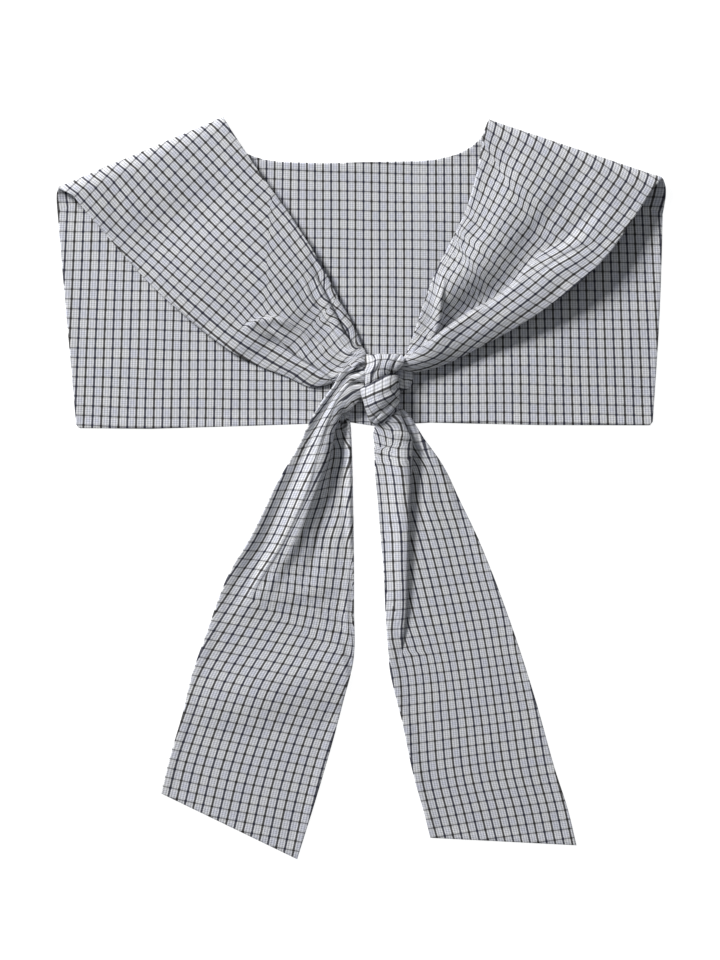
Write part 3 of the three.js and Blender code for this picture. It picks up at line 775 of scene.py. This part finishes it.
@dataclass(frozen=True)
class CheckedCotton:
    """Plain-woven cotton with dark warp stripes, fainter weft stripes and tinted cells.

    A cover is how much of the ground a stripe hides, a half is half its width in millimetres and
    a span is where a mask falls from 1 to 0. Counts are in checks.
    """

    name: str
    cream: Colour = colour(0.900, 0.895, 0.875)
    lavender: Colour = colour(0.545, 0.560, 0.670)
    navy: Colour = colour(0.008, 0.009, 0.024)
    brown_black: Colour = colour(0.013, 0.011, 0.010)
    # Dark stripes, and the knots of yarn where they cross.
    warp_cover: float = 0.945
    warp_half: float = 0.84
    warp_uneven: float = 0.16
    weft_cover: float = 0.60
    weft_half: float = 0.74
    weft_uneven: float = 0.22
    soft_edge: float = 0.46
    knot_cover: float = 0.96
    knot_span: Span = (0.7, 1.3)
    # The one pale warp stripe, which gets its full tone back towards the hem.
    pale_stripe: float = 106.0
    pale_loss: float = 0.62
    pale_span: Span = (0.4, 0.6)
    pale_rise: Span = (6.0, 23.0)
    # Fine stripes within a check.
    faint_cover: float = 0.52
    faint_warps: float = 3.0
    faint_warp_span: Span = (0.12, 0.34)
    faint_warp_share: float = 0.55
    faint_wefts: float = 5.0
    faint_weft_span: Span = (0.15, 0.40)
    faint_weft_share: float = 0.45
    # Threads: their width, how many make one mark on a stripe, and how much a mark lightens it.
    thread: float = 0.42
    mark_threads: float = 2.4
    warp_mark: float = 0.12
    weft_mark: float = 0.14
    # Yarn that swells and thins: stretched noise in each direction.
    slub_warp: tuple[float, float, float] = (9.0, 0.9, 1.0)
    slub_weft: tuple[float, float, float] = (0.9, 9.0, 1.0)
    slub_detail: float = 2.0
    slub_roughness: float = 0.6
    # The ground's share of lavender and its tone, and how much each varies from cell to cell.
    lavender_share: float = 0.22
    lavender_by_cell: float = 0.36
    lavender_in_middle: float = 0.26
    middle_span: Span = (0.16, 0.30)
    tone: float = 0.93
    tone_by_cell: float = 0.07
    tone_by_slub: float = 0.10
    # Surface.
    bump: float = 0.35
    bump_depth: float = 0.00012
    weave_relief: float = 0.5
    slub_relief: float = 0.6
    matt: float = 0.86
    matt_by_slub: float = 0.10
    gloss: float = 0.25
    sheen: float = 0.12
    sheen_spread: float = 0.5

    def make(self) -> bpy.types.Material:
        """Wires the finish.

        Returns:
            The material.
        """
        wiring = Wiring(self.name)
        flat = wiring.node("ShaderNodeUVMap", {"uv_map": WEAVE_MAP}).outputs["UV"]
        split = wiring.node("ShaderNodeSeparateXYZ", None, {0: flat})
        warp = Value(wiring, split.outputs["X"])
        weft = Value(wiring, split.outputs["Y"])
        slub = self._slub(wiring, flat, self.slub_warp)
        slub_weft = self._slub(wiring, flat, self.slub_weft)

        across = warp.distance_to_whole() * WARP_PITCH + (slub - 0.5) * self.warp_uneven
        along = weft.distance_to_whole() * WEFT_PITCH + (slub_weft - 0.5) * self.weft_uneven
        warp_line = self._stripe(across, self.warp_half)
        weft_line = self._stripe(along, self.weft_half)
        knot = across.falling(*self.knot_span) * along.falling(*self.knot_span) * self.knot_cover
        faint_warp = (warp * self.faint_warps).distance_to_whole().falling(*self.faint_warp_span)
        faint_weft = (weft * self.faint_wefts).distance_to_whole().falling(*self.faint_weft_span)
        faint = self.faint_warp_share * faint_warp + self.faint_weft_share * faint_weft
        ground = self._ground(wiring, warp, weft, slub + slub_weft)
        ground = wiring.scaled(ground, 1.0 - self.faint_cover * faint)

        # Half of a stripe's number is a whole number on every second stripe.
        odd = ((warp - 0.5).floor() * 0.5).distance_to_whole().above(0.25)
        dark = wiring.mix(odd, self.navy, self.brown_black)
        turns = 2 * math.pi * WEFT_PITCH / (self.mark_threads * self.thread)
        mark = 0.5 + 0.5 * (weft * turns).sine()
        weft_share = weft_line * self.weft_cover * (1.0 - self.weft_mark + self.weft_mark * mark)
        cloth = wiring.mix(weft_share, ground, dark)
        beside = warp - self.pale_stripe
        pale = beside.larger(-beside).falling(*self.pale_span)
        pale = pale * (1.0 - weft.falling(*self.pale_rise))
        warp_share = warp_line * (self.warp_cover - self.warp_mark * mark)
        warp_share = warp_share.larger(knot) * (1.0 - self.pale_loss * pale)
        cloth = wiring.mix(warp_share, cloth, dark)

        # The weave stands up where a warp thread's sine and a weft thread's sine agree.
        ribs = (warp * (2 * math.pi * WARP_PITCH / self.thread)).sine()
        picks = (weft * (2 * math.pi * WEFT_PITCH / self.thread)).sine()
        relief = ribs * picks * self.weave_relief + (slub + slub_weft) * self.slub_relief
        bump = wiring.node(
            "ShaderNodeBump",
            None,
            {"Strength": self.bump, "Distance": self.bump_depth, "Height": relief},
        )
        return wiring.finish({
            "Base Color": cloth,
            "Roughness": self.matt + self.matt_by_slub * slub,
            "Normal": bump.outputs[0],
            "Specular IOR Level": self.gloss,
            "Sheen Weight": self.sheen,
            "Sheen Roughness": self.sheen_spread,
        })

    def _stripe(self, distance: Value, half: float) -> Value:
        """1 within a stripe's half width, with a soft edge."""
        return distance.falling(half - self.soft_edge / 2, half + self.soft_edge / 2)

    def _slub(
        self, wiring: Wiring, flat: bpy.types.NodeSocket, scale: tuple[float, float, float]
    ) -> Value:
        """Uneven thickness of the yarn, drawn out along it.

        Args:
            wiring: the tree's builder.
            flat: the cloth's stripe counts.
            scale: how closely the noise changes each way.

        Returns:
            The unevenness, from 0 to 1.
        """
        stretched = wiring.node("ShaderNodeVectorMath", {"operation": "MULTIPLY"}, {0: flat, 1: scale})
        noise = wiring.node(
            "ShaderNodeTexNoise",
            {"noise_dimensions": "2D"},
            {
                "Vector": stretched.outputs[0],
                "Scale": 1.0,
                "Detail": self.slub_detail,
                "Roughness": self.slub_roughness,
            },
        )
        return Value(wiring, noise.outputs[0])

    def _ground(self, wiring: Wiring, warp: Value, weft: Value, slubs: Value) -> bpy.types.NodeSocket:
        """Pale cells between cream and lavender, each with its own tint.

        The share of lavender is a start, plus a random lot for the cell, plus a patch in the
        cell's middle. The tone is a start, plus the lot, plus the yarn's unevenness.

        Args:
            wiring: the tree's builder.
            warp: stripe count across the cloth.
            weft: stripe count along the cloth.
            slubs: unevenness of both yarns together.

        Returns:
            The colour.
        """
        cell = wiring.node("ShaderNodeCombineXYZ", None, {0: warp.floor(), 1: weft.floor()})
        chance = wiring.node(
            "ShaderNodeTexWhiteNoise", {"noise_dimensions": "2D"}, {"Vector": cell.outputs[0]}
        )
        lot = Value(wiring, chance.outputs["Value"])
        middle = (warp + 0.5).distance_to_whole().falling(*self.middle_span)
        middle = middle * (weft + 0.5).distance_to_whole().falling(*self.middle_span)
        share = self.lavender_share + self.lavender_by_cell * lot + self.lavender_in_middle * middle
        tint = wiring.mix(share, self.cream, self.lavender)
        tone = self.tone + self.tone_by_cell * lot + self.tone_by_slub * (slubs - 1.0)
        return wiring.scaled(tint, tone)


class Held(Enum):
    LAID = "laid"
    FOLDED = "folded"
    GATHERED = "gathered"
    DRAPED = "draped"


@dataclass
class ClothPiece:
    """A piece of cloth: a grid of points with the flat cloth's stripe counts, and its wall."""

    node: str
    slot: str
    held: Held
    flat_size: tuple[float, float]
    flat_area: float | None
    rests_on: tuple[str, ...]

    @property
    def name(self) -> str:
        """The piece's name, from the node that it stands for."""
        return self.node + "_cloth"

    def middle(self) -> tuple[Array, Array]:
        """The points half way through the wall, and the stripe counts there.

        Returns:
            Points in millimetres, rows by columns by 3, and counts, rows by columns by 2.
        """
        raise NotImplementedError

    def half_wall(self, points: Array) -> Array:
        """Half the thickness at each point.

        It goes from WALL to SEAM_WALL by exp(-(distance from the edge / SEAM_REACH)^4).

        Args:
            points: the middle surface.

        Returns:
            Half the wall at each point.
        """
        down = np.linalg.norm(np.diff(points, axis=0), axis=2)
        over = np.linalg.norm(np.diff(points, axis=1), axis=2)
        from_top = np.pad(np.cumsum(down, axis=0), ((1, 0), (0, 0)))
        from_side = np.pad(np.cumsum(over, axis=1), ((0, 0), (1, 0)))
        to_foot, to_side = from_top[-1] - from_top, from_side[:, -1:] - from_side
        edge = np.minimum.reduce([from_top, to_foot, from_side, to_side])
        swell = np.exp(-((edge / SEAM_REACH) ** 4))
        return 0.5 * (WALL + (SEAM_WALL - WALL) * swell)

    def build(self, material: bpy.types.Material) -> bpy.types.Object:
        """Args:
            material: the finish.

        Returns:
            The piece.
        """
        points, counts = self.middle()
        half = self.half_wall(points)
        points[..., 2] = np.maximum(points[..., 2], half + FLOOR_GAP)
        piece = shell_object(self.name, points, counts, half, material)
        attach(piece, "root")
        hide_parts(self.node)
        self.declare(points)
        return piece

    def declare(self, points: Array) -> None:
        """Logs the piece's name, its measured area and that area's share of the flat cloth.

        Args:
            points: its middle surface.
        """
        across = np.cross(np.diff(points, axis=0)[:, :-1], np.diff(points, axis=1)[:-1])
        area = float(np.sum(np.linalg.norm(across, axis=2))) * MM * MM
        flat = self.flat_area or self.flat_size[0] * self.flat_size[1] * MM * MM
        LOG.info("%s: area %.4f m2, share %.2f", self.name, area, area / flat)


def shell_object(
    name: str, points: Array, counts: Array, half: Array, material: bpy.types.Material
) -> bpy.types.Object:
    """Makes a closed wall with round rims about a grid of points.

    The two faces lie half a wall along the surface's normal. Round each rim the wall follows a
    half circle: sin(angle) outwards and cos(angle) of the half wall up and down.

    Args:
        name: the object's name.
        points: middle surface in millimetres.
        counts: stripe counts on it.
        half: half of the wall at each point.
        material: its finish.

    Returns:
        The object, in the scene.
    """
    angles = np.radians(RIM_ANGLES)

    def rim(count: int) -> tuple[Array, Array, Array]:
        """Lays out one way of the grid, with the rim's rings at both ends.

        Args:
            count: points along this way.

        Returns:
            Grid numbers, outward shares and upward shares.
        """
        pick = np.pad(np.arange(count), len(angles), mode="edge")
        out = np.concatenate([-np.sin(angles[::-1]), np.zeros(count), np.sin(angles)])
        up = np.concatenate([np.cos(angles[::-1]), np.ones(count), np.cos(angles)])
        return pick, out, up

    pick_down, out_down, up_down = rim(points.shape[0])
    pick_over, out_over, up_over = rim(points.shape[1])
    spread = np.ix_(pick_down, pick_over)
    normal = surface_normals(points)[spread]
    way_down = unit(np.gradient(points, axis=0))[spread]
    way_over = unit(np.gradient(points, axis=1))[spread]
    thick = half[spread][..., None]
    centre = points[spread] + way_down * out_down[:, None, None] * thick
    centre = centre + way_over * out_over[None, :, None] * thick
    lift = normal * thick * (up_down[:, None] * up_over[None, :])[..., None]
    lift[0] = lift[-1] = 0.0
    lift[:, 0] = lift[:, -1] = 0.0
    inside = (slice(1, -1), slice(1, -1))
    vertices = [(centre + lift).reshape(-1, 3), (centre - lift)[inside].reshape(-1, 3)]
    above = np.arange(lift[..., 0].size).reshape(lift.shape[:2])
    under = above.copy()
    under[inside] = above.size + np.arange(under[inside].size).reshape(under[inside].shape)
    faces = np.concatenate([quads(above), quads(under)[:, ::-1]])
    flat = counts[spread]
    flat = np.concatenate([flat.reshape(-1, 2), flat[inside].reshape(-1, 2)])
    return mesh_object(name, np.concatenate(vertices) * MM, faces, flat, material)


def quads(place: Array) -> Array:
    """Four-cornered faces of a grid of vertex numbers, all turned the same way."""
    corners = [place[:-1, :-1], place[1:, :-1], place[1:, 1:], place[:-1, 1:]]
    return np.stack([corner.ravel() for corner in corners], axis=1)


def mesh_object(
    name: str, vertices: Array, faces: Array, counts: Array, material: bpy.types.Material
) -> bpy.types.Object:
    """Puts vertices and four-cornered faces into a smooth mesh with its stripe counts as a map.

    Args:
        name: the object's name.
        vertices: places in metres.
        faces: four vertex numbers a row.
        counts: stripe counts of each vertex.
        material: its finish.

    Returns:
        The object, in the scene.
    """
    mesh = bpy.data.meshes.new(name)
    mesh.vertices.add(len(vertices))
    mesh.vertices.foreach_set("co", vertices.astype(np.float32).ravel())
    mesh.loops.add(faces.size)
    mesh.loops.foreach_set("vertex_index", faces.astype(np.int32).ravel())
    mesh.polygons.add(len(faces))
    mesh.polygons.foreach_set("loop_start", np.arange(0, faces.size, 4, dtype=np.int32))
    mesh.polygons.foreach_set("use_smooth", np.ones(len(faces), dtype=bool))
    mesh.update(calc_edges=True)
    weave = mesh.uv_layers.new(name=WEAVE_MAP)
    weave.data.foreach_set("uv", counts[faces.ravel()].astype(np.float32).ravel())
    mesh.validate()
    mesh.materials.append(material)
    return placed(name, mesh)


def placed(name: str, data: Any) -> bpy.types.Object:
    """Puts an object into the scene.

    Args:
        name: the object's name.
        data: its mesh, lamp or camera.

    Returns:
        The object.
    """
    made = bpy.data.objects.new(name, data)
    bpy.context.scene.collection.objects.link(made)
    return made


@dataclass(frozen=True)
class BackWeave:
    """Stripe counts of the back panel, from a place on it.

    The warp stripes stand upright in the middle and lean outwards towards the hem: stripe k is
    at middle + pitch k + lean k |k|, and the lean grows down the panel from high to low. The
    weft stripes sink a little towards the left side and the right side. Both waver a little.
    """

    middle: float = 9.0
    pitch: float = 6.44
    lean_high: float = 0.0044
    lean_left: float = 0.0096
    lean_right: float = 0.0109
    lean_least: float = 0.0004
    high: float = 198.0
    low: float = 57.2
    weft_start: float = 60.5
    weft_pitch: float = 7.645
    weft_narrowing: float = 0.00045
    tilt_left: float = 0.0205
    tilt_right: float = 0.0099
    waver: float = 0.06
    waver_x: float = 31.0
    waver_y: float = 37.0
    waver_start: float = 0.8
    waver_fine: float = 0.03
    fine_x: float = 13.0
    fine_y: float = 17.0
    waver_of_warp: float = 0.4

    def counts(self, x: Array, y: Array) -> Array:
        """Counts the stripes.

        Args:
            x: X of the places, in millimetres.
            y: Y of the places.

        Returns:
            Warp and weft counts.
        """
        off = x - self.middle
        lean_low = np.where(off < 0, self.lean_left, self.lean_right)
        down = (self.high - y) / (self.high - self.low)
        lean = np.maximum(self.lean_high + (lean_low - self.lean_high) * down, self.lean_least)
        root = np.sqrt(self.pitch**2 + 4 * lean * np.abs(off))
        warp = np.sign(off) * (root - self.pitch) / (2 * lean)
        start = self.weft_start - np.where(off < 0, self.tilt_left, self.tilt_right) * off
        weft = (y - start) / (self.weft_pitch - self.weft_narrowing * off)
        slow = np.sin(x / self.waver_x + self.waver_start) * np.sin(y / self.waver_y)
        fine = np.sin(x / self.fine_x - y / self.fine_y)
        waver = self.waver * slow + self.waver_fine * fine
        return np.stack([warp + self.waver_of_warp * waver, weft + waver], axis=-1)


@dataclass(frozen=True)
class Studio:
    """The floor, the light and the camera."""

    view_x: float = -0.2
    view_y: float = 6.0
    camera_height: float = 3.2
    frame_height: float = 0.768
    sensor: float = 36.0
    clip: Span = (0.1, 50.0)
    floor_half: float = 6.0
    floor_tone: Colour = colour(0.30, 0.30, 0.30)
    floor_matt: float = 0.9
    floor_gloss: float = 0.1
    floor_glow: float = 0.92
    glow_tone: Colour = colour(1.0, 1.0, 1.0)
    key_way: tuple[float, float, float] = (0.62, -0.62, -0.52)
    key_distance: float = 4.2
    key_size: float = 1.2
    key_power: float = 274.0
    surround: float = 0.25
    surround_tone: Colour = colour(0.93, 0.97, 1.0)

    def build(self) -> None:
        """Makes all of it."""
        self._floor()
        self._key()
        self._surround()
        self._camera()
        bpy.context.scene.view_settings.view_transform = "Standard"

    def _floor(self) -> None:
        """A plain pale floor, lit a little from below as a light table is."""
        half = self.floor_half
        mesh = bpy.data.meshes.new("floor")
        corners = [(-half, -half, 0.0), (half, -half, 0.0), (half, half, 0.0), (-half, half, 0.0)]
        mesh.from_pydata(corners, [], [(0, 1, 2, 3)])
        mesh.materials.append(Wiring("pale_floor").finish({
            "Base Color": self.floor_tone,
            "Roughness": self.floor_matt,
            "Specular IOR Level": self.floor_gloss,
            "Emission Color": self.glow_tone,
            "Emission Strength": self.floor_glow,
        }))
        placed("floor", mesh)

    def _key(self) -> None:
        """A broad soft key from the upper left."""
        key = bpy.data.lights.new("key", "AREA")
        key.shape = "DISK"
        key.size = self.key_size
        key.energy = self.key_power
        lamp = placed("key", key)
        towards = Vector(self.key_way).normalized()
        lamp.location = -towards * self.key_distance
        lamp.rotation_euler = towards.to_track_quat("-Z", "Y").to_euler()

    def _surround(self) -> None:
        """An even pale surround."""
        world = bpy.data.worlds.new("surround")
        world.use_nodes = True
        back = world.node_tree.nodes["Background"]
        back.inputs["Color"].default_value = self.surround_tone
        back.inputs["Strength"].default_value = self.surround
        bpy.context.scene.world = world

    def _camera(self) -> None:
        """A camera straight above the cloth, its top towards the neck."""
        lens = bpy.data.cameras.new("camera")
        lens.sensor_width = self.sensor
        lens.lens = self.sensor * self.camera_height / self.frame_height
        lens.clip_start, lens.clip_end = self.clip
        camera = placed("camera", lens)
        camera.location = (self.view_x * MM, self.view_y * MM, self.camera_height)
        bpy.context.scene.camera = camera


@dataclass
class BackPanel(ClothPiece):
    """The broad plate between hem, neckline and the feet of the two shoulder rolls.

    Its stripe numbers are raised past those of the other pieces, so that the pale stripe lies
    on this piece only. Low waves run along the hem, and the right side bows out a little.
    """

    weave: BackWeave = BackWeave()
    ripples: Ripples = Ripples(seed=11, count=70, length=40.0, width=8.0, height=0.16)
    number_shift: float = 100.0
    count_over: int = 300
    count_up: int = 150
    samples_foot: int = 60
    samples_neck: int = 140
    samples_hem: int = 400
    corner: float = 2.2
    bow: float = 1.2
    bow_from: float = 200.0
    bow_width: float = 40.0
    height: float = 0.9
    deepest: float = 0.1
    wave: float = 0.35
    wave_length: float = 9.0
    wave_reach: float = 7.0

    def _top(self) -> Array:
        """The top boundary: left foot line, neckline, right foot line.

        Returns:
            Its point at each column.
        """
        left = resample(plain(LEFT_FOOT), self.samples_foot)
        neck = resample(plain(NECKLINE), self.samples_neck)
        right = resample(plain(RIGHT_FOOT)[::-1], self.samples_foot)
        return resample(np.concatenate([left, neck[1:], right[1:]]), self.count_over)

    def _hem(self, share: Array) -> Array:
        """The hem, with its two corners raised by corner (1 - distance from the end / corner)^2.

        Args:
            share: share of the hem's width at each column.

        Returns:
            Its point at each column.
        """
        hem = resample(plain(HEM), self.samples_hem)
        x = hem[0, 0] + share * (hem[-1, 0] - hem[0, 0])
        y = np.interp(x, hem[:, 0], hem[:, 1])
        inwards = np.minimum(x - hem[0, 0], hem[-1, 0] - x)
        y = y + self.corner * np.maximum(0.0, 1 - inwards / self.corner) ** 2
        return np.stack([x, y], axis=1)

    def middle(self) -> tuple[Array, Array]:
        """Straight columns from the hem to the top boundary, with a little waviness.

        The right side bows out by bow sin(pi up). The waves at the hem stand up by
        wave sin(x / wave_length) exp(-(distance from the hem / wave_reach)^2).

        Returns:
            Points and counts.
        """
        top = self._top()
        foot = self._hem((top[:, 0] - top[0, 0]) / (top[-1, 0] - top[0, 0]))
        up = np.linspace(0.0, 1.0, self.count_up)[:, None]
        x = blend(foot[:, 0], top[:, 0], up)
        y = blend(foot[:, 1], top[:, 1], up)
        x = x + self.bow * smooth_step((x - self.bow_from) / self.bow_width) * np.sin(np.pi * up)
        ripple = self.ripples.height_at(x, y)
        near_hem = np.exp(-(((y - foot[:, 1]) / self.wave_reach) ** 2))
        wave = self.wave * np.sin(x / self.wave_length) * near_hem
        z = self.height + np.maximum(ripple, -self.deepest) + np.maximum(wave, 0.0)
        counts = self.weave.counts(x, y)
        counts[..., 0] += self.number_shift
        return np.stack([x, y, z], axis=-1), counts


@dataclass(kw_only=True)
class Strip(ClothPiece):
    """A strip of cloth through the rows of a section table, with folds and small crumples.

    level_row is the share of its length at which the weft stripes run straight across.
    """

    sections: Rows
    folds: tuple[Fold, ...]
    ripples: Ripples
    step_along: float = 1.7
    count_over: int = 150
    level_row: float = 0.0
    waver: float = 0.05
    waver_x: float = 23.0
    waver_y: float = 29.0
    waver_start: float = 1.0
    waver_of_warp: float = 0.5

    QUARTERS: ClassVar[Array] = np.linspace(0.0, 1.0, 5)
    SLIGHT: ClassVar[float] = 0.02

    @property
    def share(self) -> Array:
        """Share across the strip of each column."""
        return np.linspace(0.0, 1.0, self.count_over)

    def _places(self, table: Array) -> Array:
        """Distance of each section along the line through their middles."""
        return travelled(0.5 * (table[:, OUTER] + table[:, INNER]))

    def _base(self) -> tuple[Array, Array, Array]:
        """The smooth strip before its folds.

        Returns:
            Points, stripe columns of each row, and the weft count that the first row starts at.
        """
        table = plain(self.sections)
        places = self._places(table)
        at = np.arange(0.0, places[-1] + self.step_along * 0.5, self.step_along)
        line = smooth_through(places, table, at * places[-1] / at[-1])
        return self._across(line), line[:, STRIPES], np.zeros(self.count_over)

    def _across(self, line: Array) -> Array:
        """Points across each section, raised by crown sin(pi share).

        Args:
            line: the section table's columns at each row.

        Returns:
            The points.
        """
        points = blend(line[:, None, OUTER], line[:, None, INNER], self.share[:, None])
        points[..., 2] += line[:, CROWN] * np.sin(np.pi * self.share)
        return points

    def middle(self) -> tuple[Array, Array]:
        """The strip with its folds, and its stripe counts.

        The warp count across a row goes smoothly through the row's five numbers, and the folds
        add the stripes that they hide, on the side where the count goes on.

        Returns:
            Points and counts.
        """
        points, stripes, start = self._base()
        x, y = points[..., 0].copy(), points[..., 1].copy()
        normal = surface_normals(points)
        normal = normal * np.sign(np.mean(normal[..., 2]))
        lift = self.ripples.height_at(x, y)
        shift = np.zeros((*x.shape, 2))
        hidden = np.zeros_like(x)
        direction = np.sign(np.mean(stripes[:, -1] - stripes[:, 0]))
        for crease in self.folds:
            height, lean, swallowed, step = crease.shape(x, y)
            lift += height
            shift += lean
            inward = np.gradient(step, axis=1)
            inward_sum = np.sum(inward[np.abs(inward) > self.SLIGHT])
            step = step if inward_sum > 0 or crease.reach > 0 else 1.0 - step
            turn = np.sign(inward_sum) if crease.reach > 0 else 1.0
            hidden += swallowed * step * direction * turn
        counts = self._counts(points, stripes, hidden, start)
        points = points + normal * lift[..., None]
        points[..., 0:2] += shift
        return points, counts

    def _counts(self, points: Array, stripes: Array, hidden: Array, start: Array) -> Array:
        """Stripe counts over the strip.

        The weft count is the length travelled along the warp stripes of the strip before its
        folds, over the weft pitch. Both counts waver by sin(x / waver_x) sin(y / waver_y).

        Args:
            points: the strip before its folds.
            stripes: five warp numbers for each row.
            hidden: stripes swallowed by the folds so far across the row.
            start: weft count of the level row at each column.

        Returns:
            Warp and weft counts.
        """
        warp = smooth_through(self.QUARTERS, stripes.T, self.share).T
        down, over = np.gradient(points, axis=0), np.gradient(points, axis=1)
        warp_down, warp_over = (np.gradient(warp, axis=k)[..., None] for k in (0, 1))
        way = unit(down * warp_over - over * warp_down) * np.sign(np.mean(warp_over))
        step = np.sum(down * way, axis=2) / WEFT_PITCH
        weft = np.cumsum(step, axis=0) - 0.5 * step
        weft = weft - weft[int(round(self.level_row * (len(points) - 1)))] + start
        waver = np.sin(points[..., 0] / self.waver_x)
        waver = self.waver * waver * np.sin(points[..., 1] / self.waver_y + self.waver_start)
        return np.stack([warp + hidden + self.waver_of_warp * waver, weft + waver], axis=-1)


@dataclass(kw_only=True)
class Front(Strip):
    """A front of the cape: it leaves the back panel, rolls over the shoulder and runs to the knot.

    Its first section is the crease line of the shoulder. bulge is how far the roll stands out at
    its outer end, within a share of the width that falls with the power bulge_fall.
    """

    foot: Rows
    bulge: float
    bulge_fall: int = 5
    foot_height: float = 0.9
    roll_rows: int = 13
    weave: BackWeave = BackWeave()

    def _base(self) -> tuple[Array, Array, Array]:
        """The shoulder roll, then the strip through the sections.

        The roll's section is two quarter ellipses. Below the crease line it goes from the foot
        line outwards by cos(angle), above it from the crease line inwards to the first section,
        and its height goes with 1 + sin(angle).

        Returns:
            Points, stripe columns of each row and the weft count of the first row.
        """
        table = plain(self.sections)
        crease, top = self._across(table[:2])
        share = self.share[:, None]
        foot = np.full_like(crease, self.foot_height)
        foot[:, :2] = blend(*plain(self.foot)[:, None], share)
        outward = unit(crease[0] - crease[-1])
        outward[2] = 0.0
        angle = np.radians(np.linspace(-90.0, 90.0, 2 * self.roll_rows + 1))[:-1]
        below = angle < 0
        end = np.where(below[:, None, None], foot, top)
        roll = crease + (end - crease) * (1 - np.cos(angle))[:, None, None]
        swing = np.where(below, np.sin(2 * (angle + np.pi / 2)), 0.0)[:, None, None]
        edge = (1 - share[None, :, :]) ** self.bulge_fall
        roll = roll + outward * self.bulge * np.maximum(swing, 0.0) * edge
        climb = 0.5 * (1 + np.sin(angle))[:, None]
        roll[..., 2] = self.foot_height + (top[:, 2] - self.foot_height) * climb
        main = table[1:]
        places = self._places(main)
        count = int(places[-1] / self.step_along)
        line = smooth_through(places, main, np.linspace(0.0, places[-1], count))
        quarters = foot[np.round(self.QUARTERS * (self.count_over - 1)).astype(int)]
        foot_stripes = self.weave.counts(quarters[:, 0], quarters[:, 1])[:, 0]
        turn = (angle / (np.pi / 2))[:, None]
        low_stripes = blend(foot_stripes, table[0, STRIPES], turn + 1)
        high_stripes = blend(table[0, STRIPES], table[1, STRIPES], turn)
        roll_stripes = np.where(below[:, None], low_stripes, high_stripes)
        stripes = np.concatenate([roll_stripes, line[:, STRIPES]])
        start = self.weave.counts(foot[:, 0], foot[:, 1])[:, 1]
        return np.concatenate([roll, self._across(line)]), stripes, start


def capelet() -> list[ClothPiece]:
    """The pieces of the cape, in the order in which they lie.

    Returns:
        The pieces.
    """
    back = ("back_panel_cloth",)
    floor_and_back = ("floor", *back)
    return [
        BackPanel("back_panel", COTTON, Held.LAID, (480.0, 236.0), 0.096, ("floor",)),
        Front(
            "left_front", COTTON, Held.FOLDED, (137.0, 300.0), 0.030, back,
            sections=LEFT_FRONT, folds=LEFT_FRONT_FOLDS, foot=LEFT_FOOT, bulge=1.5,
            ripples=Ripples(seed=21, heading=-0.8, spread=0.4, height=0.24),
        ),
        Front(
            "right_front", COTTON, Held.FOLDED, (137.0, 300.0), 0.030, back,
            sections=RIGHT_FRONT, folds=RIGHT_FRONT_FOLDS, foot=RIGHT_FOOT, bulge=3.5,
            ripples=Ripples(seed=31, heading=0.9, spread=0.4, height=0.24),
        ),
        Strip(
            "left_tail", COTTON, Held.DRAPED, (119.0, 385.0), 0.040, floor_and_back,
            sections=LEFT_TAIL, folds=LEFT_TAIL_FOLDS, level_row=0.6,
            ripples=Ripples(seed=41, heading=1.2, height=0.3),
        ),
        Strip(
            "right_tail", COTTON, Held.DRAPED, (119.0, 350.0), 0.038, floor_and_back,
            sections=RIGHT_TAIL, folds=RIGHT_TAIL_FOLDS, level_row=0.6,
            ripples=Ripples(seed=51, heading=-1.2, height=0.3),
        ),
        Strip(
            "knot_side_loop", KNOT_COTTON, Held.FOLDED, (18.0, 23.0), None, back,
            sections=SIDE_LOOP, folds=SIDE_LOOP_FOLDS, count_over=60, step_along=0.5,
            ripples=Ripples(seed=61, count=8, length=8.0, width=2.5, height=0.15),
        ),
        Strip(
            "knot_top_wrap", KNOT_COTTON, Held.GATHERED, (36.0, 44.0), None, back,
            sections=TOP_WRAP, folds=TOP_WRAP_FOLDS, count_over=80, step_along=0.5,
            ripples=Ripples(seed=71, count=10, length=10.0, width=2.5, height=0.2),
        ),
        Strip(
            "knot_front_wrap", KNOT_COTTON, Held.GATHERED, (42.0, 52.0), None, back,
            sections=FRONT_WRAP, folds=FRONT_WRAP_FOLDS, count_over=80, step_along=0.5,
            ripples=Ripples(seed=81, count=10, length=10.0, width=2.5, height=0.2),
        ),
    ]


def write_sizes() -> None:
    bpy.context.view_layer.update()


def main() -> None:
    """Builds the studio and the pieces of the cape, and reports each one."""
    logging.basicConfig(level=logging.INFO, format="%(message)s")
    Studio().build()
    finishes = {slot: CheckedCotton(slot).make() for slot in (COTTON, KNOT_COTTON)}
    for part in capelet():
        piece = part.build(finishes[part.slot])
        LOG.info("built %s with %d faces", piece.name, len(piece.data.polygons))
    write_sizes()


if __name__ == "__main__":
    main()
